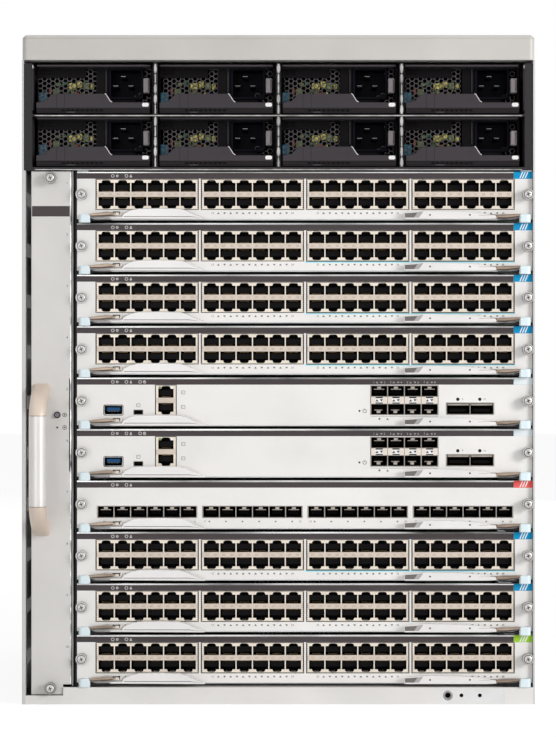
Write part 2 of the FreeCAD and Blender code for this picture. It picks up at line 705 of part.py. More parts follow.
def fan_tray():
    """Front plate and the sheet frame behind it, whose side has a square window at each fan."""
    corner = TRAY_RIGHT - TRAY_STEP_WIDTH
    outline = [
        (TRAY_LEFT, TRAY_LOW),
        (corner, TRAY_LOW),
        (corner, TRAY_LOW + TRAY_STEP_HEIGHT),
        (TRAY_RIGHT, TRAY_LOW + TRAY_STEP_HEIGHT),
        (TRAY_RIGHT, TRAY_TOP),
        (TRAY_LEFT, TRAY_TOP),
    ]
    plate = outline_xz(outline, TRAY_FACE_Y, TRAY_FACE)
    place = Vec(BEACON_X, TRAY_FACE_Y, BEACON_Z)
    plate = plate.cut(Part.makeCylinder(BEACON_HOLE, TRAY_FACE, place, Vec(0, 1, 0)))
    front = TRAY_FACE_Y + TRAY_FACE
    rear = TRAY_REAR
    inner = TRAY_INNER_LEFT + TRAY_FRAME
    side = box(TRAY_INNER_LEFT, inner, front, rear, TRAY_FRAME_LOW, TRAY_TOP)
    half = FAN_WINDOW / 2
    for row in range(FAN_ROWS):
        for column in range(FAN_COLUMNS):
            y, z = fan_place(row, column)
            side = side.cut(box(TRAY_INNER_LEFT, inner, y - half, y + half, z - half, z + half))
    flange_right = inner + FAN_THICKNESS
    flanges = [
        box(inner, flange_right, front, rear, TRAY_FRAME_LOW, TRAY_FRAME_LOW + TRAY_FRAME),
        box(inner, flange_right, front, rear, TRAY_TOP - TRAY_FRAME, TRAY_TOP),
        box(inner, flange_right, rear - TRAY_FRAME, rear,
            TRAY_FRAME_LOW + TRAY_FRAME, TRAY_TOP - TRAY_FRAME),
    ]
    screws = [
        knurled_screw(TRAY_LEFT + TRAY_SCREW_INSET, TRAY_FACE_Y, TRAY_TOP - TRAY_SCREW_END),
        knurled_screw(TRAY_LEFT + TRAY_SCREW_INSET, TRAY_FACE_Y, TRAY_LOW + TRAY_SCREW_END),
    ]
    return [plate, side] + flanges + screws


def fan_ring(radius, y, z):
    """Corners of a many-sided ring in the plane across X."""
    step = 2 * math.pi / FAN_SIDES
    return [
        (y + radius * math.cos((side + 0.5) * step), z + radius * math.sin((side + 0.5) * step))
        for side in range(FAN_SIDES)
    ]


def fan(y, z):
    """Fan frame with its bore and struts, and the rotor."""
    left = TRAY_INNER_LEFT + TRAY_FRAME
    half = FAN_SIZE / 2
    frame = box(left, left + FAN_THICKNESS, y - half, y + half, z - half, z + half)
    frame = frame.cut(outline_yz(fan_ring(FAN_BORE, y, z), left, FAN_THICKNESS))
    strut = box(left, left + FAN_STRUT, y - FAN_BORE, y + FAN_BORE, z - FAN_STRUT, z + FAN_STRUT)
    frame = frame.fuse(strut).removeSplitter()
    hub_x = left + FAN_STRUT
    length = FAN_THICKNESS - FAN_STRUT - RUNNING_GAP
    rotor = outline_yz(fan_ring(FAN_HUB, y, z), hub_x, length)
    middle = hub_x + length / 2
    reach = length / 2 / math.cos(math.radians(FAN_BLADE_ANGLE)) - FAN_BLADE_SHEET
    blades = []
    for index in range(FAN_BLADES):
        blade = box(middle - reach, middle + reach, y - FAN_BLADE_SHEET / 2, y + FAN_BLADE_SHEET / 2,
                    z + FAN_ROOT, z + FAN_BLADE_TIP)
        blade.rotate(Vec(middle, y, z), Vec(0, 0, 1), FAN_BLADE_ANGLE)
        blade.rotate(Vec(middle, y, z), Vec(1, 0, 0), index * 360.0 / FAN_BLADES)
        blades.append(blade)
    return [frame, rotor.fuse(blades)]


def fan_bank():
    pieces = []
    for row in range(FAN_ROWS):
        for column in range(FAN_COLUMNS):
            y, z = fan_place(row, column)
            pieces += fan(y, z)
    return pieces


def tray_handle():
    """Grip tube between two end castings that stand on the front plate."""
    axis = TRAY_FACE_Y - GRIP_STANDOFF
    high = GRIP_LOW + GRIP_LENGTH
    grip = Part.makeCylinder(GRIP_RADIUS, GRIP_LENGTH, Vec(GRIP_X, axis, GRIP_LOW))
    pieces = [grip]
    for end, way in ((GRIP_LOW, -1), (high, 1)):
        outline = [
            (axis - GRIP_RADIUS, end),
            (axis + GRIP_RADIUS, end),
            (TRAY_FACE_Y, end + way * (CASTING_LENGTH - CASTING_FOOT)),
            (TRAY_FACE_Y, end + way * CASTING_LENGTH),
            (axis, end + way * CASTING_FOOT),
            (axis - GRIP_RADIUS, end + way * CASTING_NOSE),
        ]
        pieces.append(outline_yz(outline, GRIP_X - CASTING_WIDTH / 2, CASTING_WIDTH))
    return pieces


def beacon_button():
    """Round button through the tray's front plate."""
    place = Vec(BEACON_X, TRAY_FACE_Y - BEACON_PROUD, BEACON_Z)
    return Part.makeCylinder(BEACON_RADIUS, BEACON_LENGTH, place, Vec(0, 1, 0))


# ---------------------------------------------------------------- power supplies

def supply_place(row, column):
    """Left side and underside of a power supply; row 0 is the upper one."""
    level = POWER_ROWS - 1 - row
    return bay_left(column), BAY_Z + RUNNING_GAP + level * BAY_STEP


def supply_housing(left, low):
    right = left + SUPPLY_WIDTH
    top = low + SUPPLY_HEIGHT
    housing = box(left, right, SUPPLY_Y, SUPPLY_REAR, low, top)
    inlet_left = left + INLET_LEFT
    inlet_low = low + INLET_LOW
    inlet_top = inlet_low + INLET_HEIGHT
    inside = SUPPLY_Y + INLET_DEPTH
    recess = left + WINDOW_LEFT
    recess_top = top - WINDOW_TOP_GAP
    cuts = [
        box(inlet_left, inlet_left + INLET_WIDTH, SUPPLY_Y, inside, inlet_low, inlet_top),
        box(recess, recess + WINDOW_WIDTH, SUPPLY_Y, SUPPLY_Y + WINDOW_DEPTH,
            recess_top - WINDOW_HEIGHT, recess_top),
    ]
    for index in range(GRILLE_SLOTS):
        z = low + GRILLE_LOW + index * GRILLE_PITCH
        cuts.append(
            box(left + GRILLE_LEFT, inlet_left - GRILLE_SPACE, SUPPLY_Y, SUPPLY_Y + GRILLE_DEPTH,
                z, z + GRILLE_SLOT))
    stem = left + LATCH_LEFT + LATCH_STEM_AT
    stem_low = low + LATCH_LOW + LATCH_STEM_INSET - RUNNING_GAP
    stem_top = low + LATCH_LOW + LATCH_HEIGHT - LATCH_STEM_INSET + RUNNING_GAP
    cuts.append(
        box(stem - LATCH_TRAVEL - RUNNING_GAP, stem + LATCH_STEM + RUNNING_GAP,
            SUPPLY_Y, SUPPLY_Y + LATCH_STEM_DEPTH + RUNNING_GAP, stem_low, stem_top))
    return housing.cut(cuts)


def power_inlet(left, low):
    """Recessed inlet with an earth pin above two others."""
    x0 = left + INLET_LEFT
    x1 = x0 + INLET_WIDTH
    z0 = low + INLET_LOW
    z1 = z0 + INLET_HEIGHT
    mouth = SUPPLY_Y - INLET_PROUD
    inside = SUPPLY_Y + INLET_DEPTH
    shroud = box(x0, x1, mouth, inside, z0, z1)
    wall = INLET_WALL
    shroud = shroud.cut(box(x0 + wall, x1 - wall, mouth, inside - INLET_FLOOR, z0 + wall, z1 - wall))
    middle = (x0 + x1) / 2
    lower = z0 + wall + PIN_LOW
    pins = []
    for x, z in ((middle - PIN_SPREAD / 2, lower), (middle + PIN_SPREAD / 2, lower),
                 (middle, lower + PIN_LIFT)):
        pins.append(
            box(x - PIN_WIDTH / 2, x + PIN_WIDTH / 2, mouth + PIN_SHORT, inside - INLET_FLOOR,
                z, z + PIN_THICKNESS))
    return shroud.fuse(pins).removeSplitter()


def supply_pull(left, low):
    """Folded pull: a ledge out from the housing with an upright flange of two heights."""
    front = FRONT - PULL_PROUD
    x0 = left + PULL_LEFT
    x1 = left + SUPPLY_WIDTH - PULL_RIGHT_INSET
    z = low + PULL_LOW
    ledge_top = z + PULL_SHEET
    ledge = box(x0, x1, front, SUPPLY_Y, z, ledge_top)
    drop = left + INLET_LEFT
    outline = [
        (x0, ledge_top),
        (x1, ledge_top),
        (x1, ledge_top + PULL_STEP),
        (drop + PULL_DROP, ledge_top + PULL_STEP),
        (drop, ledge_top + PULL_HIGH),
        (x0 + PULL_SLOPE, ledge_top + PULL_HIGH),
        (x0, ledge_top + PULL_SHOULDER),
    ]
    flange = outline_xz(outline, front, PULL_SHEET)
    return ledge.fuse(flange).removeSplitter()


def supply_latch(row, column):
    """Release latch: thumb tab with a stem into the housing."""
    left, low = supply_place(row, column)
    x = left + LATCH_LEFT
    z = low + LATCH_LOW
    back = SUPPLY_Y - INLET_PROUD - RUNNING_GAP
    tab = box(x, x + LATCH_WIDTH, back - LATCH_PROUD, back, z, z + LATCH_HEIGHT)
    stem = x + LATCH_STEM_AT
    tail = box(stem, stem + LATCH_STEM, back, SUPPLY_Y + LATCH_STEM_DEPTH,
               z + LATCH_STEM_INSET, z + LATCH_HEIGHT - LATCH_STEM_INSET)
    return tab.fuse(tail).removeSplitter()


def power_supply(row, column):
    left, low = supply_place(row, column)
    return [supply_housing(left, low), power_inlet(left, low), supply_pull(left, low)]


# ---------------------------------------------------------------- all nodes

def main():
    os.makedirs("parts", exist_ok=True)
    save("left_side", [left_side()])
    save("right_side", [right_side()])
    save("floor_pan", [floor_pan()])
    save("top_cover", [top_cover()])
    save("rear_cover", [rear_cover()])
    save("top_bezel", [top_bezel()])
    save("base_fascia", [base_fascia()])
    save("power_cage", power_cage())
    save("card_cage", card_cage())
    save("backplane", backplane())
    save("fan_tray", fan_tray())
    save("fan_bank", fan_bank())
    save("tray_handle", tray_handle())
    save("beacon_button", [beacon_button()])
    for slot in range(1, SLOTS + 1):
        number = "%02d" % slot
        if slot in SUPERVISOR_SLOTS:
            save("supervisor_" + number, supervisor(slot))
        elif slot == FIBRE_SLOT:
            save("line_card_" + number, fibre_card(slot))
        else:
            save("line_card_" + number, copper_card(slot))
        save("ejector_left_" + number, [ejector(slot, 1)])
        save("ejector_right_" + number, [ejector(slot, -1)])
    for row in range(POWER_ROWS):
        for column in range(POWER_COLUMNS):
            number = "%d" % (row * POWER_COLUMNS + column + 1)
            save("power_supply_" + number, power_supply(row, column))
            save("supply_latch_" + number, [supply_latch(row, column)])


main()
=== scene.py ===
"""Looks of a modular chassis switch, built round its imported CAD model.

Shapes are written in millimetres: +X right seen from the front, -Y out of the front, +Z up.
Each form has its origin in the row frame, or at the corner of the CAD node it stands for.
"""

import math

import bmesh
import bpy
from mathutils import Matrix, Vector
from mathutils.geometry import tessellate_polygon


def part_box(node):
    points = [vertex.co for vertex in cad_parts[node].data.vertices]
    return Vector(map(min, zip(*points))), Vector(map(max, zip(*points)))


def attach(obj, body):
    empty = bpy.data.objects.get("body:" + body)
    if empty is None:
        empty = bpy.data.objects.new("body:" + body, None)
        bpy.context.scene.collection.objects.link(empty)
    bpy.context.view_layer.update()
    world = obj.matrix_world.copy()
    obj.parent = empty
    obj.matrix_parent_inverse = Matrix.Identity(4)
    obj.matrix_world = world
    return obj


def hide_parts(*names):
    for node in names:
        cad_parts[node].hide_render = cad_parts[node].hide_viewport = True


MM = 0.001
SLOTS = 10
SUPERVISORS = (5, 6)
FIBRE = 7
CYAN_LINED = (2, 3, 4, 8)   # cards with a line above their right blocks

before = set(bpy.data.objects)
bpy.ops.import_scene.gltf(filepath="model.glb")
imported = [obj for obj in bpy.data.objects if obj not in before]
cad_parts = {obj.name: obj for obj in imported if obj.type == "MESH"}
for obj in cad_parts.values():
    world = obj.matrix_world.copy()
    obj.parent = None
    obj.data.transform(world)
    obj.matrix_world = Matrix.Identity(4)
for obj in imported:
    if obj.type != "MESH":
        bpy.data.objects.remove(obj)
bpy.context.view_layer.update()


def span(node):
    """Lowest and highest corner of a CAD node, in millimetres."""
    low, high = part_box(node)
    return [v / MM for v in low], [v / MM for v in high]


# ---------------------------------------------------------------- finishes

def feed(tree, node, inputs):
    """Sets the inputs of a shader node: a socket is linked, anything else is a value."""
    for name, value in inputs.items():
        if isinstance(value, bpy.types.NodeSocket):
            tree.links.new(value, node.inputs[name])
        else:
            node.inputs[name].default_value = value
    return node



def wired(tree, kind, inputs):
    """A new shader node with its inputs set."""
    return feed(tree, tree.nodes.new(kind), inputs)



def finish(name, colour, rough, metal=0, mottle=0.06, mottle_scale=18, bump=0.05, bump_scale=1400,
           stretch=(1, 1, 1), coat=0, specular=0.5):
    """A painted, moulded or metal surface: its colour drifts a little, and a fine grain lies in
    its bump and its roughness."""
    material = bpy.data.materials.new(name)
    material.use_nodes = True
    tree = material.node_tree
    place = tree.nodes.new("ShaderNodeTexCoord")
    scale = wired(tree, "ShaderNodeMapping", {"Vector": place.outputs["Object"], "Scale": stretch})
    drift = wired(tree, "ShaderNodeTexNoise",
                  {"Vector": scale.outputs["Vector"], "Scale": mottle_scale, "Detail": 5})
    tint = wired(tree, "ShaderNodeValToRGB", {"Fac": drift.outputs["Fac"]})
    for i, place, level in ((0, 0.3, 1 - mottle), (1, 0.7, 1 + mottle * 0.5)):
        tint.color_ramp.elements[i].position = place
        tint.color_ramp.elements[i].color = (*[min(1, c * level) for c in colour], 1)
    grain = wired(tree, "ShaderNodeTexNoise",
                  {"Vector": scale.outputs["Vector"], "Scale": bump_scale, "Detail": 3})
    sheen = wired(tree, "ShaderNodeMapRange",
                  {"Value": grain.outputs["Fac"], "To Min": max(0.05, rough - 0.08),
                   "To Max": min(1, rough + 0.08)})
    relief = wired(tree, "ShaderNodeBump",
                   {"Height": grain.outputs["Fac"], "Strength": bump, "Distance": 0.0002})
    feed(tree, tree.nodes["Principled BSDF"],
         {"Base Color": tint.outputs["Color"], "Metallic": metal, "Roughness": sheen.outputs["Result"],
          "Normal": relief.outputs["Normal"], "Coat Weight": coat, "Specular IOR Level": specular})
    return material


BRUSHED = (0.15, 1, 12)     # scales that stretch the grain
LONG = (1, 1, 6)
PAINTS = {
    "face": finish("card_paint", (0.84, 0.82, 0.80), 0.42, bump=0.12),
    "tray": finish("tray_paint", (0.66, 0.64, 0.62), 0.40, bump=0.12),
    "bezel": finish("bezel_paint", (0.55, 0.53, 0.505), 0.40, bump=0.12),
    "fascia": finish("fascia_paint", (0.76, 0.74, 0.715), 0.40, bump=0.12),
    "sheet": finish("chassis_sheet", (0.60, 0.60, 0.59), 0.55, mottle=0.03, mottle_scale=40, bump=0.15,
                    specular=0.3),
    "zinc": finish("zinc_sheet", (0.60, 0.61, 0.62), 0.38, 0.85, 0.16, 60, 0.05, 300),
    # near-black sheet: painted shade where parts lie in shadow, on the steel cages and in gaps
    "inside": finish("painted_shade_sheet", (0.03, 0.028, 0.03), 0.5, 0, specular=0.15),
    "strip": finish("strip_paint", (0.062, 0.050, 0.053), 0.40, mottle=0.15, mottle_scale=9, bump=0.1,
                    specular=0.2),
    # bare metal whose strong streaked colour mottle is painted reflection: bands of bright and dark
    # along the edges
    "silver": finish("bare_edge_painted_reflections", (0.66, 0.66, 0.66), 0.22, 0.9, 0.85, 11, 0.03, 900, LONG),
    "shield": finish("jack_shield", (0.80, 0.72, 0.62), 0.34, 0.35, 0.10, 90, 0.04, 700),
    "strip_light": finish("light_bar", (0.66, 0.57, 0.485), 0.45, 0, 0.08, 70),
    "light_lens": finish("light_lens", (0.60, 0.50, 0.43), 0.25, mottle=0.1, coat=0.3),
    # near-black: black plastic inside the jacks, and painted shade in holes, slots, cage backs and
    # behind the supply grille
    "hollow": finish("jack_inside_and_painted_shade", (0.005, 0.004, 0.004), 0.45, specular=0.03),
    "jack_step": finish("jack_step", (0.011, 0.009, 0.010), 0.35, specular=0.08),
    "gold": finish("contacts", (0.45, 0.30, 0.12), 0.30, 1),
    "cage_rim": finish("cage_rim", (0.36, 0.33, 0.30), 0.38, 0.8, 0.25, 200, 0.04, 500),
    # darker copy of the cage metal for the cage walls: painted shade inside the cages
    "cage_dark": finish("cage_inside_painted_shade", (0.07, 0.055, 0.05), 0.4, 0.6, 0.3, 200, 0.04, 500,
                        specular=0.2),
    "spring": finish("spring_metal", (0.42, 0.38, 0.34), 0.34, 0.9, 0.2, 200, 0.04, 500),
    # near-black for print, and also painted shade in recesses, grooves, holes and gaps
    "ink": finish("dark_ink_and_painted_shade", (0.018, 0.016, 0.018), 0.6, specular=0.15),
    "grey_mark": finish("grey_ink", (0.16, 0.155, 0.15), 0.6, specular=0.2),
    "light_ink": finish("light_ink", (0.52, 0.50, 0.50), 0.5),
    "white": finish("white_ink", (0.85, 0.85, 0.85), 0.5),
    "blue": finish("blue_ink", (0, 0.30, 0.58), 0.4, specular=0.2),
    "red": finish("red_ink", (0.90, 0.12, 0.11), 0.4, specular=0.2),
    "green": finish("green_ink", (0.36, 0.64, 0.05), 0.4, specular=0.2),
    "pale_tag": finish("pale_tag_ink", (0.76, 0.83, 0.86), 0.4),
    "cyan": finish("cyan_ink", (0.46, 0.80, 0.88), 0.45),
    "cyan_dark": finish("cyan_line", (0.03, 0.22, 0.28), 0.45, specular=0.2),
    "screw": finish("screw_nickel", (0.50, 0.49, 0.48), 0.36, 0.85, 0.08, 200, 0.04, 600),
    "screw_face": finish("screw_face", (0.56, 0.55, 0.54), 0.40, 0.7, 0.08, 200, 0.04, 600),
    "knurl": finish("screw_ring", (0.30, 0.29, 0.28), 0.35, 0.85, 0.15, 200, 0.04, 600),
    "lever": finish("lever_metal", (0.78, 0.76, 0.75), 0.38, 0.25, bump=0.1),
    "pale": finish("pale_plastic", (0.72, 0.83, 0.87), 0.35, mottle=0.04),
    "bronze": finish("lever_spring", (0.40, 0.31, 0.24), 0.30, 0.85, 0.45, 30, 0.04, 500, LONG),
    # darker copy of the lever strip's bronze: painted shade
    "bronze_dark": finish("lever_spring_edge", (0.10, 0.075, 0.06), 0.35, 0.7, 0.3, 40, 0.04, 500,
                          LONG),
    # flat patches that paint the shading of the finger scoop on the right levers
    "scoop_light": finish("scoop_light", (0.42, 0.40, 0.40), 0.5, mottle=0.15),
    "scoop_dark": finish("scoop_dark", (0.17, 0.155, 0.15), 0.5, mottle=0.2, specular=0.2),
    "cream": finish("cream_tab", (0.80, 0.72, 0.64), 0.45),
    "black": finish("supply_paint", (0.007, 0.006, 0.007), 0.36, bump=0.15, specular=0.05),
    "web": finish("grille_paint", (0.085, 0.078, 0.082), 0.34, 0.2, specular=0.2),
    "lip": finish("supply_lip", (0.055, 0.050, 0.055), 0.38, specular=0.2),
    "label": finish("dark_label", (0.030, 0.022, 0.020), 0.34, specular=0.2),
    "pull": finish("pull_plastic", (0.036, 0.03, 0.036), 0.42, bump=0.14, specular=0.25),
    "inlet": finish("inlet_plastic", (0.004, 0.004, 0.008), 0.40, specular=0.05),
    "lip_dark": finish("supply_lower_lip", (0.018, 0.014, 0.016), 0.42, specular=0.12),
    "pin": finish("inlet_pin", (0.42, 0.41, 0.40), 0.25, 1),
    "latch": finish("latch_plastic", (0.40, 0.36, 0.375), 0.38, specular=0.3),
    # lighter copy of the latch plastic: painted highlight on edges
    "latch_light": finish("latch_edge", (0.62, 0.58, 0.59), 0.35),
    "gasket": finish("gasket_fingers", (0.50, 0.49, 0.48), 0.30, 0.9, 0.45, 90, 0.05, 400),
    "channel": finish("wall_channel", (0.34, 0.33, 0.32), 0.36, 0.9, 0.6, 16, 0.04, 400),
    "board": finish("circuit_board", (0.02, 0.13, 0.06), 0.35, 0, 0.25, 160, 0.08, 500, coat=0.2),
    "chip": finish("chip_plastic", (0.02, 0.02, 0.022), 0.45, specular=0.2),
    "sink": finish("heat_sink", (0.55, 0.56, 0.58), 0.35, 0.9, 0.08, 80, 0.05, 500, BRUSHED),
    "yellow": finish("tape_yellow", (0.80, 0.72, 0.18), 0.4, mottle=0.35, mottle_scale=300),
    "orange": finish("part_red", (0.34, 0.07, 0.05), 0.4, mottle=0.3, mottle_scale=300),
    "teal": finish("part_teal", (0.04, 0.19, 0.30), 0.4, mottle=0.35, mottle_scale=300),
    "leaf": finish("part_green", (0.22, 0.28, 0.11), 0.45, mottle=0.35, mottle_scale=300),
    "casting": finish("casting_metal", (0.70, 0.59, 0.50), 0.48, 0.3, 0.05, 30, 0.06, 900),
    "grip": finish("grip_metal", (0.70, 0.68, 0.66), 0.34, 0.35, 0.04, 30, 0.05, 900),
    "fan": finish("fan_plastic", (0.022, 0.022, 0.025), 0.42, bump=0.12, specular=0.3),
    "usb": finish("blue_tongue", (0.012, 0.065, 0.17), 0.35, specular=0.15),
    "pad": finish("bare_pad", (0.72, 0.72, 0.72), 0.40, 0.3, 0.08, 60, 0.06, 500),
    "beacon": finish("button_plastic", (0.05, 0.055, 0.07), 0.3, coat=0.2, specular=0.2),
}


# ---------------------------------------------------------------- shapes

def quads(start, size, rise):
    """Faces between a loop of points and the next one, which comes rise points later."""
    return [(start + i, start + (i + 1) % size, start + (i + 1) % size + rise,
             start + i + rise) for i in range(size)]


def along(axis, place, u, v):
    """The point at a place on an axis and at u, v across it."""
    return {"x": (place, u, v), "y": (u, place, v), "z": (u, v, place)}[axis]


def inset(loop, by):
    """A closed outline moved inwards by a distance, corner by corner."""
    count = len(loop)
    area = sum(loop[i - 1][0] * loop[i][1] - loop[i][0] * loop[i - 1][1] for i in range(count))
    way = 1 if area > 0 else -1
    moved = []
    for i in range(count):
        before = Vector(loop[i]) - Vector(loop[i - 1])
        after = Vector(loop[(i + 1) % count]) - Vector(loop[i])
        before.normalize()
        after.normalize()
        normal = Vector((-before.y - after.y, before.x + after.x))
        reach = max(0.3, 0.5 * normal.length_squared)
        moved.append((loop[i][0] + way * by * normal.x / reach,
                      loop[i][1] + way * by * normal.y / reach))
    return moved


def slab(front, bevel, back):
    """Levels of a plate whose front edge is chamfered."""
    return [(front, bevel), (front + bevel, 0), (back, 0)]


def ring(x, z, radius, sides=24):
    step = 2 * math.pi / sides
    return [(x + radius * math.cos(i * step), z + radius * math.sin(i * step)) for i in range(sides)]


def rectangle(x0, x1, z0, z1, round_by=0, sides=3):
    """An outline with square or rounded corners."""
    if not round_by:
        return [(x0, z0), (x1, z0), (x1, z1), (x0, z1)]
    outline = []
    corners = ((x1 - round_by, z0 + round_by, -90), (x1 - round_by, z1 - round_by, 0),
               (x0 + round_by, z1 - round_by, 90), (x0 + round_by, z0 + round_by, 180))
    for x, z, start in corners:
        for i in range(sides + 1):
            angle = math.radians(start + 90 * i / sides)
            outline.append((x + round_by * math.cos(angle), z + round_by * math.sin(angle)))
    return outline


SHEET = 1.5          # thickness of the walls
KNOB = 9             # how far knobs and levers stand in front of a faceplate
PULL = 23            # and the pulls in front of a supply's face
SUPPLY_WIDE = 101.6
SUPPLY_PITCH = 106.15
ROW_STEP = 45.5      # between the two rows of supplies
ROW_HIGH = 43.9      # opening of a row


class Form:
    """The faces of one piece, each with its paint, in places counted from an origin."""

    def __init__(self, origin=(0, 0, 0)):
        self.origin = origin
        self.verts = []
        self.faces = []
        self.paints = []

    def add(self, verts, faces, paint):
        first = len(self.verts)
        self.verts += [tuple(v) for v in verts]
        self.faces += [tuple(first + i for i in face) for face in faces]
        self.paints += [paint] * len(faces)

    def box(self, x0, x1, y0, y1, z0, z1, paint, bevel=0):
        """A block whose edges are chamfered by bevel."""
        if not bevel:
            self.solid(rectangle(x0, x1, z0, z1), "y", [(y0, 0), (y1, 0)], paint)
            return
        levels = [(y0, bevel), (y0 + bevel, 0), (y1 - bevel, 0), (y1, bevel)]
        self.solid(rectangle(x0, x1, z0, z1, bevel, 1), "y", levels, paint)

    def solid(self, outline, axis, levels, paint, holes=()):
        """An outline along an axis: levels are (place, inset), and holes run straight through."""
        loops = [outline, *holes]
        count = sum(len(loop) for loop in loops)
        last = count * (len(levels) - 1)
        verts = []
        for place, by in levels:
            for loop in [inset(outline, by) if by else outline, *holes]:
                verts += [along(axis, place, u, v) for u, v in loop]
        cap = [range(count)]
        if holes:
            cap = tessellate_polygon([[Vector((u, v, 0)) for u, v in loop] for loop in loops])
        faces = [[end + i for i in face] for end in (0, last) for face in cap]
        for start in range(0, last, count):
            for loop in loops:
                faces += quads(start, len(loop), count)
                start += len(loop)
        self.add(verts, faces, paint)

    def pocket(self, outline, y0, y1, paint, back=None):
        """The walls and the back of a recess that opens towards -Y."""
        size = len(outline)
        self.add([(u, y, v) for y in (y0, y1) for u, v in outline], quads(0, size, size), paint)
        self.faces.append(tuple(len(self.verts) - size + i for i in range(size)))
        self.paints.append(back or paint)

    def lathe(self, centre, axis, profile, paint, sides=24):
        """A profile of (radius, place) turned about an axis; centre is (u, v) across it."""
        self.solid_rings([[along(axis, place, u, v) for u,
                           v in ring(*centre, radius, sides)] for radius, place in profile], paint)

    def solid_rings(self, rings, paint):
        """A skin over rings of as many points each, closed at both ends."""
        size = len(rings[0])
        last = size * (len(rings) - 1)
        faces = [range(size), range(last, last + size)]
        for start in range(0, last, size):
            faces += quads(start, size, size)
        self.add([point for points in rings for point in points], faces, paint)

    def mark(self, outline, y, paint, holes=()):
        """A printed shape on a surface at y that faces the front."""
        self.solid(outline, "y", [(y - 0.05, 0), (y + 0.02, 0)], paint, holes)

    def stroke(self, x0, z0, x1, z1, wide, y, paint):
        """A printed line."""
        along = Vector((x1 - x0, z1 - z0)).normalized() * wide / 2
        across = Vector((-along.y, along.x))
        a = Vector((x0, z0))
        b = Vector((x1, z1))
        self.mark([a + across, a - across, b - across, b + across], y, paint)

    def piece(self, name, body, slot, *nodes, smooth=35):
        """Makes the object, which rides on a body and stands for CAD nodes."""
        mesh = bpy.data.meshes.new(name)
        places = [[(v + base) * MM for v, base in zip(vert, self.origin)] for vert in self.verts]
        mesh.from_pydata(places, [], self.faces)
        names = sorted(set(self.paints))
        for paint in names:
            mesh.materials.append(PAINTS[paint])
        index = {paint: i for i, paint in enumerate(names)}
        for face, paint in zip(mesh.polygons, self.paints):
            face.material_index = index[paint]
        work = bmesh.new()
        work.from_mesh(mesh)
        bmesh.ops.recalc_face_normals(work, faces=work.faces)
        work.to_mesh(mesh)
        work.free()
        for face in mesh.polygons:
            face.use_smooth = True
        mesh.set_sharp_from_angle(angle=math.radians(smooth))
        thing = bpy.data.objects.new(name, mesh)
        bpy.context.scene.collection.objects.link(thing)
        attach(thing, body)
        if nodes:
            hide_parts(*nodes)


GLYPHS = {}


def number(form, text, x, z, height, y, paint):
    """Prints a number centred on x, z."""
    if text not in GLYPHS:
        curve = bpy.data.curves.new("glyph", "FONT")
        curve.body = text
        curve.size = 1
        curve.align_x = "CENTER"
        curve.align_y = "CENTER"
        curve.resolution_u = 2
        thing = bpy.data.objects.new("glyph", curve)
        mesh = bpy.data.meshes.new_from_object(thing)
        GLYPHS[text] = ([v.co.copy() for v in mesh.vertices],
                        [tuple(p.vertices) for p in mesh.polygons])
        bpy.data.objects.remove(thing)
        bpy.data.curves.remove(curve)
        bpy.data.meshes.remove(mesh)
    verts, faces = GLYPHS[text]
    size = height / 0.7
    form.add([(x + v.x * size, y - 0.05, z + v.y * size) for v in verts], faces, paint)


# ---------------------------------------------------------------- cards

class Slot:
    """A card's place. Its origin is the left end of the faceplate, 2.2 mm under the solid."""

    def __init__(self, index):
        self.number = index
        self.name = "%02d" % index
        kind = "supervisor_" if index in SUPERVISORS else "line_card_"
        self.node = kind + self.name
        low, high = span(self.node)
        self.origin = (low[0], low[1] + KNOB, low[2] - 2.2)
        self.wide = high[0] - low[0]
        self.top = high[2] - self.origin[2]
        self.rear = high[1] - self.origin[1]


JACK = 14.17         # pitch of the jacks
BLOCK = 88.5         # width of a block of twelve jacks
BLOCK_STEP = 90.9
BLOCK_LEFT = 16.4    # left end of the first block
BLOCK_MIDDLE = 24.7  # height of its light bar
CAGE = 14.3          # pitch of the cages
TAG = 16.3           # width of the coloured end of a strip
TAG_PAINTS = {7: "red", 10: "green", 5: "pale_tag", 6: "pale_tag"}


def jack_outline(x, middle, way):
    """Mouth of a jack above (way 1) or below (way -1) the light bar: full width, then a rounded
    notch between the tabs of the shield."""
    steps = ((6.6, 2.3), (6.6, 10), (4, 10.05), (3.8, 11.2), (3.1, 12), (1.7, 12.4))
    right = [(x + half, middle + way * rise) for half, rise in steps]
    left = [(x - half, middle + way * rise) for half, rise in reversed(steps)]
    return right + left


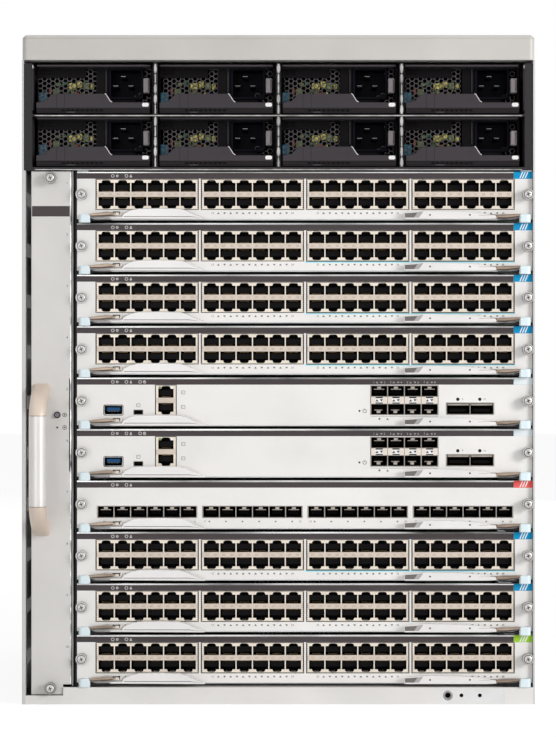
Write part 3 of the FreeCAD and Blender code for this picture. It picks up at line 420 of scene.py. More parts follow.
def jacks(form, left, width, columns, dots=True):
    """A ganged block of jacks: shield, cavities with contacts, and the light bar."""
    middle = BLOCK_MIDDLE
    first = left + width / 2 - (columns - 1) * JACK / 2
    mouths = []
    for column in range(columns):
        x = first + column * JACK
        for way in (1, -1):
            mouth = jack_outline(x, middle, way)
            mouths.append(mouth)
            form.pocket(mouth, 0.55, 13, "hollow")
            for pin in range(8):
                px = x + (pin - 3.5) * 1.02
                z = middle + way * 3.2
                form.box(px - 0.18, px + 0.18, 4.4, 12.5, z - 0.12, z + 0.12, "gold")
            z = middle + way * 6.4
            form.box(x - 6.1, x + 6.1, 8.6, 9.4, z - 2.6, z + 2.6, "jack_step", 0.3)
    form.solid(rectangle(left + 0.35, left + width - 0.35, middle - 12.8, middle + 12.8), "y",
               slab(0.3, 0.2, 1.2), "shield", mouths)
    form.box(left, left + width, 1.2, 26, middle + 12.3, middle + 12.9, "shield")
    form.box(left, left + width, 1.2, 26, middle - 12.9, middle - 12.3, "shield")
    form.box(left, left + width, 13.2, 26, middle - 12.3, middle + 12.3, "hollow")
    form.box(left + 0.9, left + width - 0.9, -0.1, 0.6, middle - 2.2, middle + 2.2, "strip_light", 0.15)
    # near-black frame round the block: painted shade in the gap between block and plate
    edge = rectangle(left + 0.1, left + width - 0.1, middle - 13, middle + 13)
    form.mark(rectangle(left - 0.3, left + width + 0.3, middle - 13.4, middle + 13.4), -0.03, "ink",
              [edge])
    if dots:
        for column in range(columns * 2):
            x = first + (column * 0.5 - 0.25) * JACK
            form.mark(rectangle(x - 1.5, x + 1.5, middle - 0.9, middle + 0.9), -0.1, "light_lens")
        for x in (left + 0.55, left + width - 0.55):
            for i in range(14):
                z = middle - 11.4 + i * 1.74
                form.mark(rectangle(x - 0.38, x + 0.38, z - 0.42, z + 0.42), 0.3, "ink")


def faceplate(form, slot, holes):
    """Painted plate with its folded bare upper edge, and the dark strip with its lights."""
    low = 3.2
    top = slot.top + 0.5
    strip = 38.2
    form.solid(rectangle(0, slot.wide, low, top - 1.7), "y", slab(0, 0.25, 1.5), "face", holes)
    fold = top - 1.7
    roll = [(0.2, fold), (0, fold + 0.2), (0, fold + 1.1), (0.25, fold + 1.45), (0.7, top), (1.4, top),
            (2.2, slot.top), (8, slot.top), (8, fold)]
    form.solid(roll, "x", [(0, 0.1), (0.1, 0), (slot.wide - 0.1, 0), (slot.wide, 0.1)], "silver")
    # near-black strip behind the lower edge: painted shade in the gap under the card
    form.box(0.4, slot.wide - 0.4, 1.5, 7.9, low + 0.2, low + 1, "inside")
    end = slot.wide - TAG
    form.solid(rectangle(0.1, end, strip, fold - 0.05), "y", slab(-0.12, 0.08, 0.1), "strip")
    tag(form, slot, strip)
    lights = 3 if slot.number in SUPERVISORS else 2
    z = strip + 2.4
    for i in range(lights):
        x = 31 + i * 11.8
        form.mark(ring(x, z, 1.5, 20), -0.12, "light_ink", [ring(x, z, 0.95, 20)])
        sign(form, x + 3.8, z, -0.12, i)
    form.mark(rectangle(5, 9.5, z - 1.3, z + 1.3), -0.12, "lip",
              [rectangle(5.4, 9.1, z - 0.9, z + 0.9)])


def tag(form, slot, strip):
    """Coloured end of the strip with its three slashes."""
    end = slot.wide - TAG
    paint = TAG_PAINTS.get(slot.number, "blue")
    top = slot.top + 0.2
    form.solid(rectangle(end + 0.1, slot.wide + 0.2, strip - 0.1, top, 0.9), "y",
               [(-0.35, 0.25), (-0.15, 0), (0.1, 0)], paint)
    for i in range(3):
        x = end + 5 + i * 2.2
        form.mark([(x, strip + 0.3), (x + 0.95, strip + 0.3), (x + 3.3, top - 0.4),
                   (x + 2.35, top - 0.4)], -0.35, "white")


def sign(form, x, z, y, kind):
    """A small generic symbol beside a light."""
    if kind == 0:
        form.mark(ring(x, z, 1.25, 6), y, "light_ink", [ring(x, z, 0.45, 8)])
    elif kind == 1:
        form.mark(rectangle(x - 1, x + 1, z - 1.3, z - 0.1), y, "light_ink")
        form.mark(ring(x, z + 0.6, 0.6, 12), y, "light_ink")
    else:
        form.mark(ring(x, z, 1.4, 16), y, "light_ink")
        form.stroke(x - 0.7, z, x - 0.1, z - 0.7, 0.4, y - 0.05, "strip")
        form.stroke(x - 0.1, z - 0.7, x + 1, z + 0.8, 0.4, y - 0.05, "strip")


def cross_mouth(u, v, turn, reach, half, root):
    """Outline of a crossed recess, turned by an angle in degrees."""
    cross = []
    for quarter in range(4):
        a = math.radians(90 * quarter + turn)
        for p, q in ((reach, -half), (reach, half), (root, root)):
            cross.append((u + p * math.cos(a) - q * math.sin(a), v + p * math.sin(a) + q * math.cos(a)))
    return cross


def captive_screw(form, x, z, y, knob="screw", size=5.1):
    """Spring-loaded screw: ferrule, spring, knurled knob and a crossed head in its recess."""
    form.lathe((x, z), "y", [(4.6, y), (4.6, y - 1.4), (4.3, y - 1.8)], "knurl", 28)
    for turn in range(4):
        form.lathe((x, z), "y", [(3.2, y - 1.8 - turn * 0.8), (3.7, y - 2.2 - turn * 0.8),
                                 (3.2, y - 2.6 - turn * 0.8)], "screw", 20)
    sides = 56
    levels = ((size - 0.6, y - 5), (size, y - 5.4), (size, y - 8), (size - 0.35, y - 8.35),
              (3.85, y - 8.4), (3.75, y - 7.4))
    rings = []
    for radius, place in levels:
        points = []
        for i in range(sides):
            r = radius - (0.3 if i % 2 and radius == size else 0)
            angle = 2 * math.pi * i / sides
            points.append((x + r * math.cos(angle), place, z + r * math.sin(angle)))
        rings.append(points)
    form.solid_rings(rings, knob)
    # black band in the groove round the knob: painted shade
    form.lathe((x, z), "y", [(3.75, y - 7.4), (3.75, y - 7.6)], "ink", 32)
    cross = cross_mouth(x, z, 20, 1.75, 0.3, 0.36)
    form.solid(ring(x, z, 3.3, 32), "y", [(y - 9, 0.45), (y - 8.7, 0), (y - 7.5, 0)], "screw_face",
               [cross])
    # black lining of the crossed recess: painted shade in it
    form.pocket(cross, y - 8.95, y - 7.9, "ink")


def triangle(x, z, size, way):
    return [(x - size, z - way * size * 0.6), (x + size, z - way * size * 0.6),
            (x, z + way * size * 0.8)]


def card_rear(form, slot):
    """Sheet tray, board with its chips, finned heat sink and the connector at the rear."""
    left = 1.6
    right = slot.wide - 1.6
    y0 = 1.5
    low = 2.4
    board = 10.2
    top = board + 1.6
    middle = slot.wide / 2
    rear = slot.rear - 12
    form.box(left, right, y0, rear, low, low + 1.2, "zinc")
    form.box(left, left + 1.2, y0, rear, low + 1.2, board, "zinc")
    form.box(right - 1.2, right, y0, rear, low + 1.2, board, "zinc")
    form.box(left, right, y0, rear, board, top, "board")
    sink = (y0 + rear) / 2
    form.box(middle - 45, middle + 45, sink, sink + 80, top, top + 4, "sink")
    for i in range(23):
        x = middle - 45 + i * 4.05
        form.box(x, x + 0.9, sink, sink + 80, top + 4, top + 18, "sink")
    form.box(middle - 125, middle + 125, rear - 12, slot.rear, top, top + 14, "chip", 0.6)
    for i in range(10):
        x = middle - 112 + i * 25
        form.box(x - 9.5, x + 9.5, slot.rear - 0.4, slot.rear - 0.1, top + 2, top + 12, "label")
    for row in range(4):
        y = y0 + 42 + row * 62
        for i in range(9):
            x = 26 + i * 43 + 6 * math.sin(i * 2.1 + row)
            if abs(x - middle) < 60 and row in (2, 3):
                continue
            size = (9, 5.5, 12, 7)[(i + row) % 4]
            tall = (1.6, 2.4, 1.2, 6.5)[(i * 2 + row) % 4]
            paint = ("chip", "chip", "label", "sink")[(i * 2 + row) % 4]
            form.box(x - size, x + size, y - size, y + size, top, top + tall, paint, 0.4)


def plate_window(left, right, low, high):
    """Opening in a faceplate round a block, with a dark gap about it."""
    return rectangle(left - 0.35, right + 0.35, low - 0.35, high + 0.35)


def copper_card(slot):
    """Card with four blocks of twelve jacks."""
    form = Form(slot.origin)
    holes = []
    middle = BLOCK_MIDDLE
    for index in range(4):
        left = BLOCK_LEFT + index * BLOCK_STEP
        holes.append(plate_window(left, left + BLOCK, middle - 12.9, middle + 12.9))
        jacks(form, left, BLOCK, 6)
        centre = left + BLOCK / 2
        z = 8.4
        for i in range(12):
            form.mark(triangle(centre + (i - 5.5) * 5.36, z, 1.15, 1 if i % 2 == 0 else -1), 0,
                      "grey_mark")
        number(form, str(index * 12 + 1), centre - 34.5, z, 1.7, 0, "grey_mark")
        number(form, str(index * 12 + 12), centre + 34.5, z, 1.7, 0, "grey_mark")
        if index > 1 and slot.number in CYAN_LINED:
            form.mark(rectangle(left - 1.4, left + BLOCK + 1.2, middle - 14.8, middle - 13.9), 0,
                      "cyan")
            form.mark(rectangle(left - 0.4, left + BLOCK + 0.4, middle - 13.9, middle - 13.5), 0,
                      "cyan_dark")
    finish_card(form, slot, holes)


def finish_card(form, slot, holes):
    """Adds what all cards have."""
    faceplate(form, slot, holes)
    card_rear(form, slot)
    for x in (4.4, slot.wide - 4.4):
        captive_screw(form, x, 24.3, 0)
    form.piece("card_" + slot.name, slot.node, "card_paint", slot.node)


def cage_row(form, left, low, columns, pitch=CAGE, wide=13.5, tall=8.2, flip=1):
    """Open cages side by side, each with its latch spring and a contact shell inside."""
    mouths = []
    for column in range(columns):
        x = left + (column + 0.5) * pitch
        mouth = rectangle(x - wide / 2, x + wide / 2, low, low + tall)
        mouths.append(mouth)
        form.pocket(mouth, -0.2, 22, "cage_dark", "hollow")
        if flip > 0:
            form.box(x - 2.2, x + 1.2, 1, 7, low + 1, low + 3.4, "spring", 0.2)
            form.box(x - 4.4, x + 3, 0.9, 1.6, low + 3.4, low + 4.2, "spring", 0.2)
        else:
            form.box(x - 1.8, x + 1.8, 1, 7, low + tall - 2.4, low + tall - 0.4, "spring", 0.2)
            form.box(x - 4.6, x + 4.6, 0.9, 1.6, low + tall - 3.2, low + tall - 2.4, "spring", 0.2)
        form.box(x - 4.6, x + 4.6, 9, 21.5, low + 1.8, low + tall - 1.8, "hollow", 0.4)
    right = left + columns * pitch
    outline = rectangle(left - 0.5, right + 0.5, low - 0.6, low + tall + 0.6)
    form.solid(outline, "y", slab(-0.3, 0.15, 0.6), "cage_rim", mouths)
    return outline


def fibre_card(slot):
    """Card with four rows of six cages."""
    form = Form(slot.origin)
    holes = []
    for index in range(4):
        left = BLOCK_LEFT + index * BLOCK_STEP + (BLOCK - 6 * CAGE) / 2
        outline = cage_row(form, left, 12.6, 6, tall=9.4, flip=-1)
        holes.append(inset(outline, 0.2))
        for i in range(6):
            x = left + (i + 0.4) * CAGE
            form.mark(triangle(x, 8.9, 1, -1), 0, "grey_mark")
        number(form, str(index * 6 + 1), left + 2, 8.9, 1.7, 0, "grey_mark")
        number(form, str(index * 6 + 6), left + 84, 8.9, 1.7, 0, "grey_mark")
    finish_card(form, slot, holes)


def socket(form, outline, depth, paint, back="hollow"):
    """A metal-lipped opening in the faceplate."""
    form.pocket(inset(outline, 0.5), -0.1, depth, paint, back)
    form.solid(outline, "y", slab(-0.15, 0.1, 0.5), paint, [inset(outline, 0.5)])
    return inset(outline, 0.2)


def wide_cages(form, slot):
    """Two wide cages side by side in one rim, with their lights above."""
    left = slot.wide - 74.7
    outline = rectangle(left, left + 41.8, 12.1, 22.8)
    mouths = []
    for i in range(2):
        x = left + 0.9 + i * 20.3
        mouth = rectangle(x, x + 19.7, 12.8, 22.1)
        mouths.append(mouth)
        form.pocket(mouth, -0.2, 14, "cage_dark", "hollow")
        form.box(x + 0.5, x + 19.2, 0.6, 9, 20.2, 21.8, "spring", 0.2)
        form.box(x + 1.8, x + 17.8, 3, 13.5, 14.4, 17.6, "hollow", 0.4)
        x = left + 10.3 + i * 19
        form.mark(ring(x, 25.6, 1.45, 20), 0, "ink")
        number(form, str(9 + i), x + 4.1, 25.6, 1.6, 0, "grey_mark")
    form.solid(outline, "y", slab(-0.25, 0.15, 0.6), "cage_rim", mouths)
    return inset(outline, 0.2)


def small_cages(form, slot):
    """Two rows of four cages, and the light plate between them with its pairs of arrows."""
    pitch = 14.5
    left = slot.wide - 139.5
    right = left + 4 * pitch
    cage_row(form, left, 12.5, 4, pitch, 13.7, 8.9)
    cage_row(form, left, 28.2, 4, pitch, 13.7, 8.9, -1)
    form.box(left - 0.5, right + 0.5, 0.1, 2, 21.6, 28, "hollow")
    for i in range(4):
        x = left + (i + 0.5) * pitch
        for side in (-1, 1):
            a = x + side * (pitch / 2 - 0.15)
            b = x + side * 3.1
            form.box(min(a, b), max(a, b), -0.3, 0.3, 21.7, 27.7, "cream", 0.15)
        form.mark(rectangle(x - 3.1, x + 3.1, 22.8, 26.6), -0.15, "white")
        form.mark(triangle(x - 1.9, 24.5, 1.35, 1), -0.22, "ink")
        form.mark(triangle(x + 1.9, 24.8, 1.35, -1), -0.22, "ink")
        z = 40.1
        form.mark(triangle(x - 1.9, z, 1, 1), -0.12, "light_ink", [triangle(x - 1.9, z, 0.5, 1)])
        form.mark(triangle(x + 1.9, z, 1, -1), -0.12, "light_ink", [triangle(x + 1.9, z, 0.5, -1)])
        number(form, str(i * 2 + 1), x - 4.6, z, 1.7, -0.12, "light_ink")
        number(form, str(i * 2 + 2), x + 4.6, z, 1.7, -0.12, "light_ink")
    form.stroke(left - 0.3, 10.6, right, 10.6, 0.25, 0, "grey_mark")
    form.mark(ring(left + 7.5, 8.7, 1, 6), 0, "grey_mark")
    form.mark(triangle(left + 14.5, 8.5, 1.2, 1), 0, "grey_mark")
    return rectangle(left - 0.4, right + 0.4, 12, 37.6)


def small_ports(form, slot):
    """Serial and mini serial sockets, the console jacks and the reset hole, each with its symbol."""
    serial = rectangle(23.4, 39.7, 12.1, 20.5, 0.9)
    # near-black frame round the socket: painted shade in its gap
    form.mark(inset(serial, -0.5), 0, "ink", [inset(serial, 0.1)])
    holes = [socket(form, serial, 13, "silver")]
    x = 31.55
    form.box(x - 5.8, x + 5.8, 0.3, 12.5, 15.2, 18.6, "usb", 0.3)
    for i in range(4):
        form.box(x - 4.2 + i * 2.4, x - 3.4 + i * 2.4, 0.25, 9, 14.95, 15.2, "gold")
    mini = rectangle(48.7, 57.3, 12.1, 16.7, 0.7)
    holes.append(socket(form, mini, 10, "knurl"))
    x = 53
    form.box(x - 2.6, x + 2.6, 1, 9.5, 13.9, 14.7, "hollow", 0.15)
    for a, z in ((53, 20.4), (91.8, 31.5), (91.8, 19)):
        form.mark(rectangle(a - 1.7, a + 1.7, z - 1.5, z + 1.5, 0.4), 0, "grey_mark",
                  [rectangle(a - 1.35, a + 1.35, z - 1.15, z + 1.15)])
        form.stroke(a - 0.8, z + 0.4, a - 0.1, z - 0.2, 0.35, 0, "grey_mark")
    console = 67.8
    holes.append(plate_window(console, console + 18, 11.8, 37.6))
    jacks(form, console, 18, 1, False)
    for side, paint in ((-1, "leaf"), (1, "white")):
        a = console + 9 + side * 5.2
        form.box(a - 1.2, a + 1.2, 0.15, 3, 34.6, 36.6, paint, 0.1)
    x = slot.wide - 149.3
    hole = rectangle(x - 0.8, x + 0.8, 14.7, 16.3, 0.6, 4)
    holes.append(hole)
    form.pocket(hole, 0.2, 5, "hollow")
    z = 15.5
    form.mark(ring(x + 4.5, z, 1.75, 24), 0, "ink", [ring(x + 4.5, z, 1.35, 24)])
    form.mark(rectangle(x + 3.9, x + 5.1, z + 0.9, z + 2.2), -0.04, "face")
    form.stroke(x + 4.5, z + 0.2, x + 4.5, z + 2.2, 0.35, -0.05, "ink")
    return holes


def supervisor(slot):
    """Management card: small ports, then two kinds of cages."""
    form = Form(slot.origin)
    holes = small_ports(form, slot)
    holes.append(small_cages(form, slot))
    holes.append(wide_cages(form, slot))
    finish_card(form, slot, holes)


def ejector(slot, side):
    """Ejector lever: pale pivot block, sprung bronze strip, catch and the long arm."""
    node = "ejector_%s_%s" % ("left" if side > 0 else "right", slot.name)
    low, high = span(node)
    start = low[0] if side > 0 else high[0]
    end, deep, tall = (b - a for a, b in zip(low, high))
    form = Form((start, low[1], low[2]))

    def u(distance):
        return side * distance

    def bar(a, b, c, d, e, f, paint, bevel=0.2):
        form.box(min(u(a), u(b)), max(u(a), u(b)), c, d, e, f, paint, bevel)

    def plate(points, a, b, paint, bevel=0.3, rise=0):
        outline = [(u(x), z + rise * min(max(x - 9, 0) / 18, 1)) for x, z in points]
        form.solid(outline, "y", slab(a, bevel, b), paint)

    middle = deep / 2
    rise = 2.6 if side > 0 else 0
    knuckle = [(u(4.2 - 3.3 * math.cos(a)),
                middle + 3.3 * math.sin(a)) for a in [math.radians(-90 + 18 * i) for i in range(11)]]
    knuckle += [(u(9.6), deep), (u(10.9), deep - 1.2), (u(10.9), 1.4), (u(9.9), 0.2)]
    form.solid(knuckle, "z", [(-1.9, 0.5), (-1.4, 0), (tall - 0.3, 0), (tall + 0.2, 0.5)], "pale")
    form.lathe((u(4.2), middle), "z", [(1.5, -2), (1.5, tall + 0.3)], "screw", 16)
    # bronze strip: painted shade along its lower edge, the lit face, and a painted highlight on the
    # thin upper fold
    plate([(9.6, 3.5), (22, 1.5), (33, 1.9), (33, 2.8), (10.2, 3.9)], 0.9, deep - 1, "bronze_dark", 0.2,
          rise)
    plate([(9.6, 3.9), (22, 2.6), (33, 2.6), (33, 3.6), (25, 4.6), (9.4, 5)], 0.6, deep - 1.4, "bronze",
          0.2, rise)
    plate([(9.4, 5), (25, 4.6), (33, 3.7), (33, 4), (25, 5.3), (9.4, 5.5)], 0.4, deep - 1.6, "spring",
          0.12, rise)
    # near-black plate below the strip: painted shade in the gap beneath it
    plate([(11, -0.3), (24, -0.3), (29, 0.2), (29, 0.7), (15, 0.7), (11, 2.2)], 2, deep, "ink", 0.1)
    bar(30, 38, 0.8, deep - 1.6, 1.8 + rise, 4.4 + rise, "cream", 0.4)
    # dark bars round the catch: painted shade in the gaps about it
    for i, (a, b, c, d) in enumerate(((30.6, 36.6, 4.3, 5), (36.2, 36.9, 2.4, 4.9),
                                      (30.6, 31.2, 3.6, 4.9))):
        bar(a, b, 0.2 + i * 0.02, 0.8, c + rise, d + rise, "ink", 0.1)
    if side > 0:
        top = [(28, 2.7), (38, 3), (39.6, 5.8), (46, 9), (52.8, 10.2), (70, 10.5), (88, 10.2),
               (94, 8.7), (99, 6.2), (104, 4.2), (end - 1.5, 2.4), (end, 1.6)]
        # grey line along the arm where its face bends: painted shade in that fold
        crease_shade = [(40, 3), (96, 3), (106, 2.3), (96, 3.5), (40, 3.5)]
        form.mark([(u(x), z) for x, z in crease_shade], 0.05, "grey_mark")
        # narrow metal-paint strip under the top outline: a painted highlight along the arm's upper edge
        edge = [(x, z - 0.45) for x, z in top[1:-1]] + [(x, z - 0.15) for x, z in reversed(top[1:-1])]
        plate(edge, 0.05, 0.4, "silver", 0.1)
    else:
        top = [(31, 4.6), (46, 6.6), (60, 7.6), (end - 17, 8.3), (end - 9, 7.2), (end, 6.6), (end, 1.6)]
        # dark dots: painted shade standing for two small screw holes
        for a in (end - 22.4, end - 56.7):
            form.mark(ring(u(a), 4.6, 0.75, 14), 0.05, "ink")
        # finger scoop at the free end drawn flat: a lighter and a darker patch of painted shade
        curve = [(end - 16.6, 7.6), (end - 9, 6.5), (end - 0.8, 6)]
        scoop = [(end - 0.8, 2.3), (end - 12.7, 2.3), (end - 14.8, 4.8)] + curve
        dark = [(end - 0.8, 2.3), (end - 8.5, 2.3), (end - 10.4, 4.8), (end - 11.4, 6.7)] + curve[1:]
        form.mark([(u(x), z) for x, z in scoop], 0.06, "scoop_light")
        form.mark([(u(x), z) for x, z in dark], 0.02, "scoop_dark")
        plate([(10, 5.6), (46, 4.4), (46, 4.1), (10, 5.2)], 0.02, 0.4, "bronze", 0.1)
    outline = [(top[0][0], 1.3)] + top + [(end - 1, 0.9)]
    if side < 0:
        outline.insert(0, (38.4, 0.9))
    plate(outline, 0.1, 3.2, "lever", 0.5)
    form.piece("lever_%s_%s" % ("left" if side > 0 else "right", slot.name), node, "lever_metal", node)


# ---------------------------------------------------------------- power supplies

def comb(form, region, y, depth, cell=2.8, web=0.6, paint="web"):
    """Honeycomb of flat-topped cells over a region given as x0, x1, z0, z1 boxes."""
    pitch = cell * math.sqrt(3) / 2
    radius = cell / math.sqrt(3)
    inner = (cell - web) / math.sqrt(3)
    done = set()
    left, _, floor = form.origin
    for x0, x1, z0, z1 in region:
        for column in range(math.floor((x0 + left) / pitch), math.ceil((x1 + left) / pitch) + 1):
            x = column * pitch - left
            shift = cell / 2 if column % 2 else 0
            for row in range(math.floor((z0 + floor) / cell) - 1, math.ceil((z1 + floor) / cell) + 2):
                z = row * cell + shift - floor
                inside = x0 - cell / 3 < x < x1 + cell / 3 and z0 - cell / 3 < z < z1 + cell / 3
                if not inside or (row, column) in done:
                    continue
                done.add((row, column))
                verts = [(a, y, b) for a, b in ring(x, z, radius, 6)]
                verts += [(a, y, b) for a, b in ring(x, z, inner, 6)]
                verts += [(a, y + depth, b) for a, b in ring(x, z, inner, 6)]
                form.add(verts, quads(0, 6, 6) + quads(6, 6, 6), paint)


def power_supply(index):
    node = "power_supply_%d" % index
    low, high = span(node)
    origin = (low[0], low[1] + PULL, low[2])
    form = Form(origin)
    inlet = rectangle(62, 92.8, 14.4, 42.6, 2.6)
    supply_shell(form, high[0] - low[0], high[2] - low[2], high[1] - origin[1])
    supply_face(form, inlet, 43.4)
    supply_inside(form)
    supply_inlet(form, inlet)
    supply_pull(form)
    form.piece("supply_%d" % index, node, "supply_black", node)


def supply_shell(form, right, top, rear):
    """Housing of a supply, open at the front, with a near-black sheet close behind the grille that
    paints the shade inside.
    """
    wall = 1
    form.box(0, right, 0, rear, 0, wall, "black")
    form.box(0, right, 3, rear, top - wall, top, "black")
    form.box(0, wall, 0, rear, wall, top - wall, "black")
    form.box(right - wall, right, 0, rear, wall, top - wall, "black")
    # near-black sheet deep inside: painted shade seen through the grille
    form.box(wall, right - wall, 46, 47, wall, top - wall, "hollow")
    window = rectangle(12, right - 12, 5, top - 5, 1.5)
    form.solid(rectangle(wall, right - wall, wall, top - wall), "y", [(rear - 1.6, 0), (rear, 0)],
               "black", [window])
    comb(form, [(12, right - 12, 5, top - 5)], rear - 0.4, -0.9, 3.6, 0.8)
    for i in range(3):
        x = 30 + i * 21
        form.box(x - 4, x + 4, 40, rear - 30, top, top + 0.35, "lip", 0.15)


def supply_face(form, inlet, top):
    """Front plate with its honeycomb, label and lip."""
    right = SUPPLY_WIDE
    windows = [
        [(0.9, 11), (11.6, 11), (16.6, 18.6), (51.4, 18.6), (51.4, 41.6), (42.4, 41.6), (42.4, 33.8),
         (0.9, 33.8)],
        rectangle(92.4, 99, 33.4, 41.6),
        rectangle(86, 99, 11.6, 19),
        rectangle(93.2, 98.5, 19.7, 27.8),
    ]
    form.solid(rectangle(0.1, right - 0.1, 0.1, top), "y", slab(-0.3, 0.3, 1.4), "black",
               windows + [inset(inlet, 0.5)])
    regions = [
        (3.9, 50, 19, 33.2), (44, 50, 33.2, 38.4),
        (3.9, 13.5, 12.4, 19), (93.6, 97.2, 34.6, 38.4),
        (86.4, 97.2, 13, 18.2),
    ]
    comb(form, regions, 0.02, 0.9, 4.2, 0.8)
    form.box(2.2, 41.8, -0.25, 0.9, 34.8, 41.5, "label", 0.2)
    for i in range(2):
        x = 5.4 + i * 5.2
        form.mark(rectangle(x - 1.5, x + 1.5, 36.6, 40.2), -0.25, "web",
                  [rectangle(x - 1.1, x + 1.1, 37, 39.8)])
    form.box(1, right - 2.4, -14, 0, 41.8, top, "lip", 0.3)
    form.box(59.6, 60.2, -1.4, -0.3, 21, 42, "web", 0.2)


def supply_inside(form):
    """Coloured parts seen through the honeycomb."""
    board = [
        (31, 38, 24, 29.5, 2.6, "yellow"), (38.6, 43, 25.5, 31, 2.2, "yellow"),
        (33, 36, 20, 23.4, 3, "leaf"), (20, 24, 27, 30, 4, "leaf"),
        (30, 32, 20, 25, 6, "leaf"), (44, 49, 24, 30, 3.4, "leaf"),
        (50, 53.5, 24, 29, 3, "yellow"), (13.5, 16, 20, 26, 5, "orange"),
        (17, 23, 19, 25, 6.5, "leaf"), (3, 12, 12, 21.5, 2.6, "teal"),
        (24.5, 28.5, 28, 31.5, 8, "board"), (36, 40, 19.4, 21.6, 4, "orange"),
        (43, 45, 19.6, 22, 4.6, "yellow"), (3, 56, 9, 10.4, 6, "board"),
    ]
    for x0, x1, z0, z1, back, paint in board:
        form.box(max(x0 - 4.2, 0.9), x1 - 4.2, back, back + 8, z0, z1, paint, 0.5)


def supply_inlet(form, inlet):
    """Mains inlet with its three pins."""
    mouth = inset(inlet, 2.4)
    form.solid(inlet, "y", slab(-1.5, 0.6, 2), "inlet", [mouth])
    form.pocket(mouth, -1.5, 20, "inlet")
    middle = 74.9
    for x, z in ((middle, 34.4), (middle - 6.6, 26.2), (middle + 6.6, 26.2)):
        form.box(x - 2.3, x + 2.3, -0.6, 20, z - 1.3, z + 0.1, "inlet", 0.3)
        form.box(x - 2.3, x + 2.3, -0.7, 19, z + 0.1, z + 0.75, "pin", 0.2)


def supply_pull(form):
    """The pull with a painted highlight along its slope, and the lips below it."""
    front = -PULL
    x0 = 1.4
    x1 = 99
    ledge = 4.6
    form.box(x0, x1, front + 0.6, 0, ledge, ledge + 2, "pull", 0.3)
    upper = [(x1, ledge + 5.2), (x0 + 65, ledge + 5.2), (x0 + 63.4, ledge + 6.2),
             (x0 + 60, ledge + 11.6), (x0 + 58.8, ledge + 12.6), (x0 + 16, ledge + 12.6),
             (x0 + 12.8, ledge + 11.6), (x0 + 7.5, ledge + 6.4), (x0 + 2.5, ledge + 5.2),
             (x0, ledge + 5.2)]
    outline = [(x0, ledge + 0.2), (x1, ledge + 0.2)] + upper
    form.solid(outline, "y", [(front, 0.5), (front + 0.5, 0), (front + 1.7, 0), (front + 2, 0.3)],
               "pull")
    # painted highlight along the right slope, on a thin raised strip
    slope = upper[1:5]
    edge = slope + [(x + 0.5, z + 0.55) for x, z in reversed(slope)]
    form.solid(edge, "y", [(front + 0.1, 0.1), (front + 0.25, 0), (front + 1.6, 0)], "latch_light")
    for x in (x0 + 17.5, x0 + 24.5):
        form.mark(rectangle(x - 0.2, x + 0.2, ledge + 0.6, ledge + 12.2), front, "ink")
    form.mark(ring(x0 + 56, ledge + 7.6, 1.5, 16), front, "label",
              [ring(x0 + 56, ledge + 7.6, 1.2, 16)])
    form.mark(rectangle(x1 - 6.4, x1 - 0.7, ledge + 1.5, ledge + 4.8, 1.3), front, "lever")
    form.box(x0 - 0.4, x1, -8, 0, 0.4, 1.6, "lip", 0.3)
    form.box(x0, x1, front + 2.2, 0, 0.7, 1.9, "lip_dark", 0.3)
    form.box(x0, x1, front + 2.2, front + 3.4, 1.9, ledge, "lip_dark", 0.2)
    for i in range(9):
        x = x0 + 22 + i * 4.1
        form.box(x, x + 2.6, front + 1.9, front + 2.3, 2.4, 3.8, "hollow", 0.1)
    form.box(x0 + 26, x0 + 33, front + 1.9, front + 2.3, 1.2, 1.9, "web", 0.1)


def supply_latch(index):
    node = "supply_latch_%d" % index
    low, high = span(node)
    form = Form()
    back = low[1] + 9
    base = low[2] + 1.8
    top = high[2] + 2.4
    form.solid(rectangle(low[0], high[0], base, top, 0.8), "y",
               [(low[1], 0.7), (low[1] + 0.6, 0), (back, 0)], "latch")
    form.box(low[0] + 3.4, low[0] + 5.1, back, high[1], low[2] + 2.3, high[2] - 2.3, "latch")
    # light strip at the latch's right edge: a painted highlight
    form.box(high[0] - 1.5, high[0] - 0.6, low[1], low[1] + 1, base + 1.2, top - 1.2, "latch_light",
             0.2)
    form.piece("latch_%d" % index, node, "latch_plastic", node)


# ---------------------------------------------------------------- fan tray

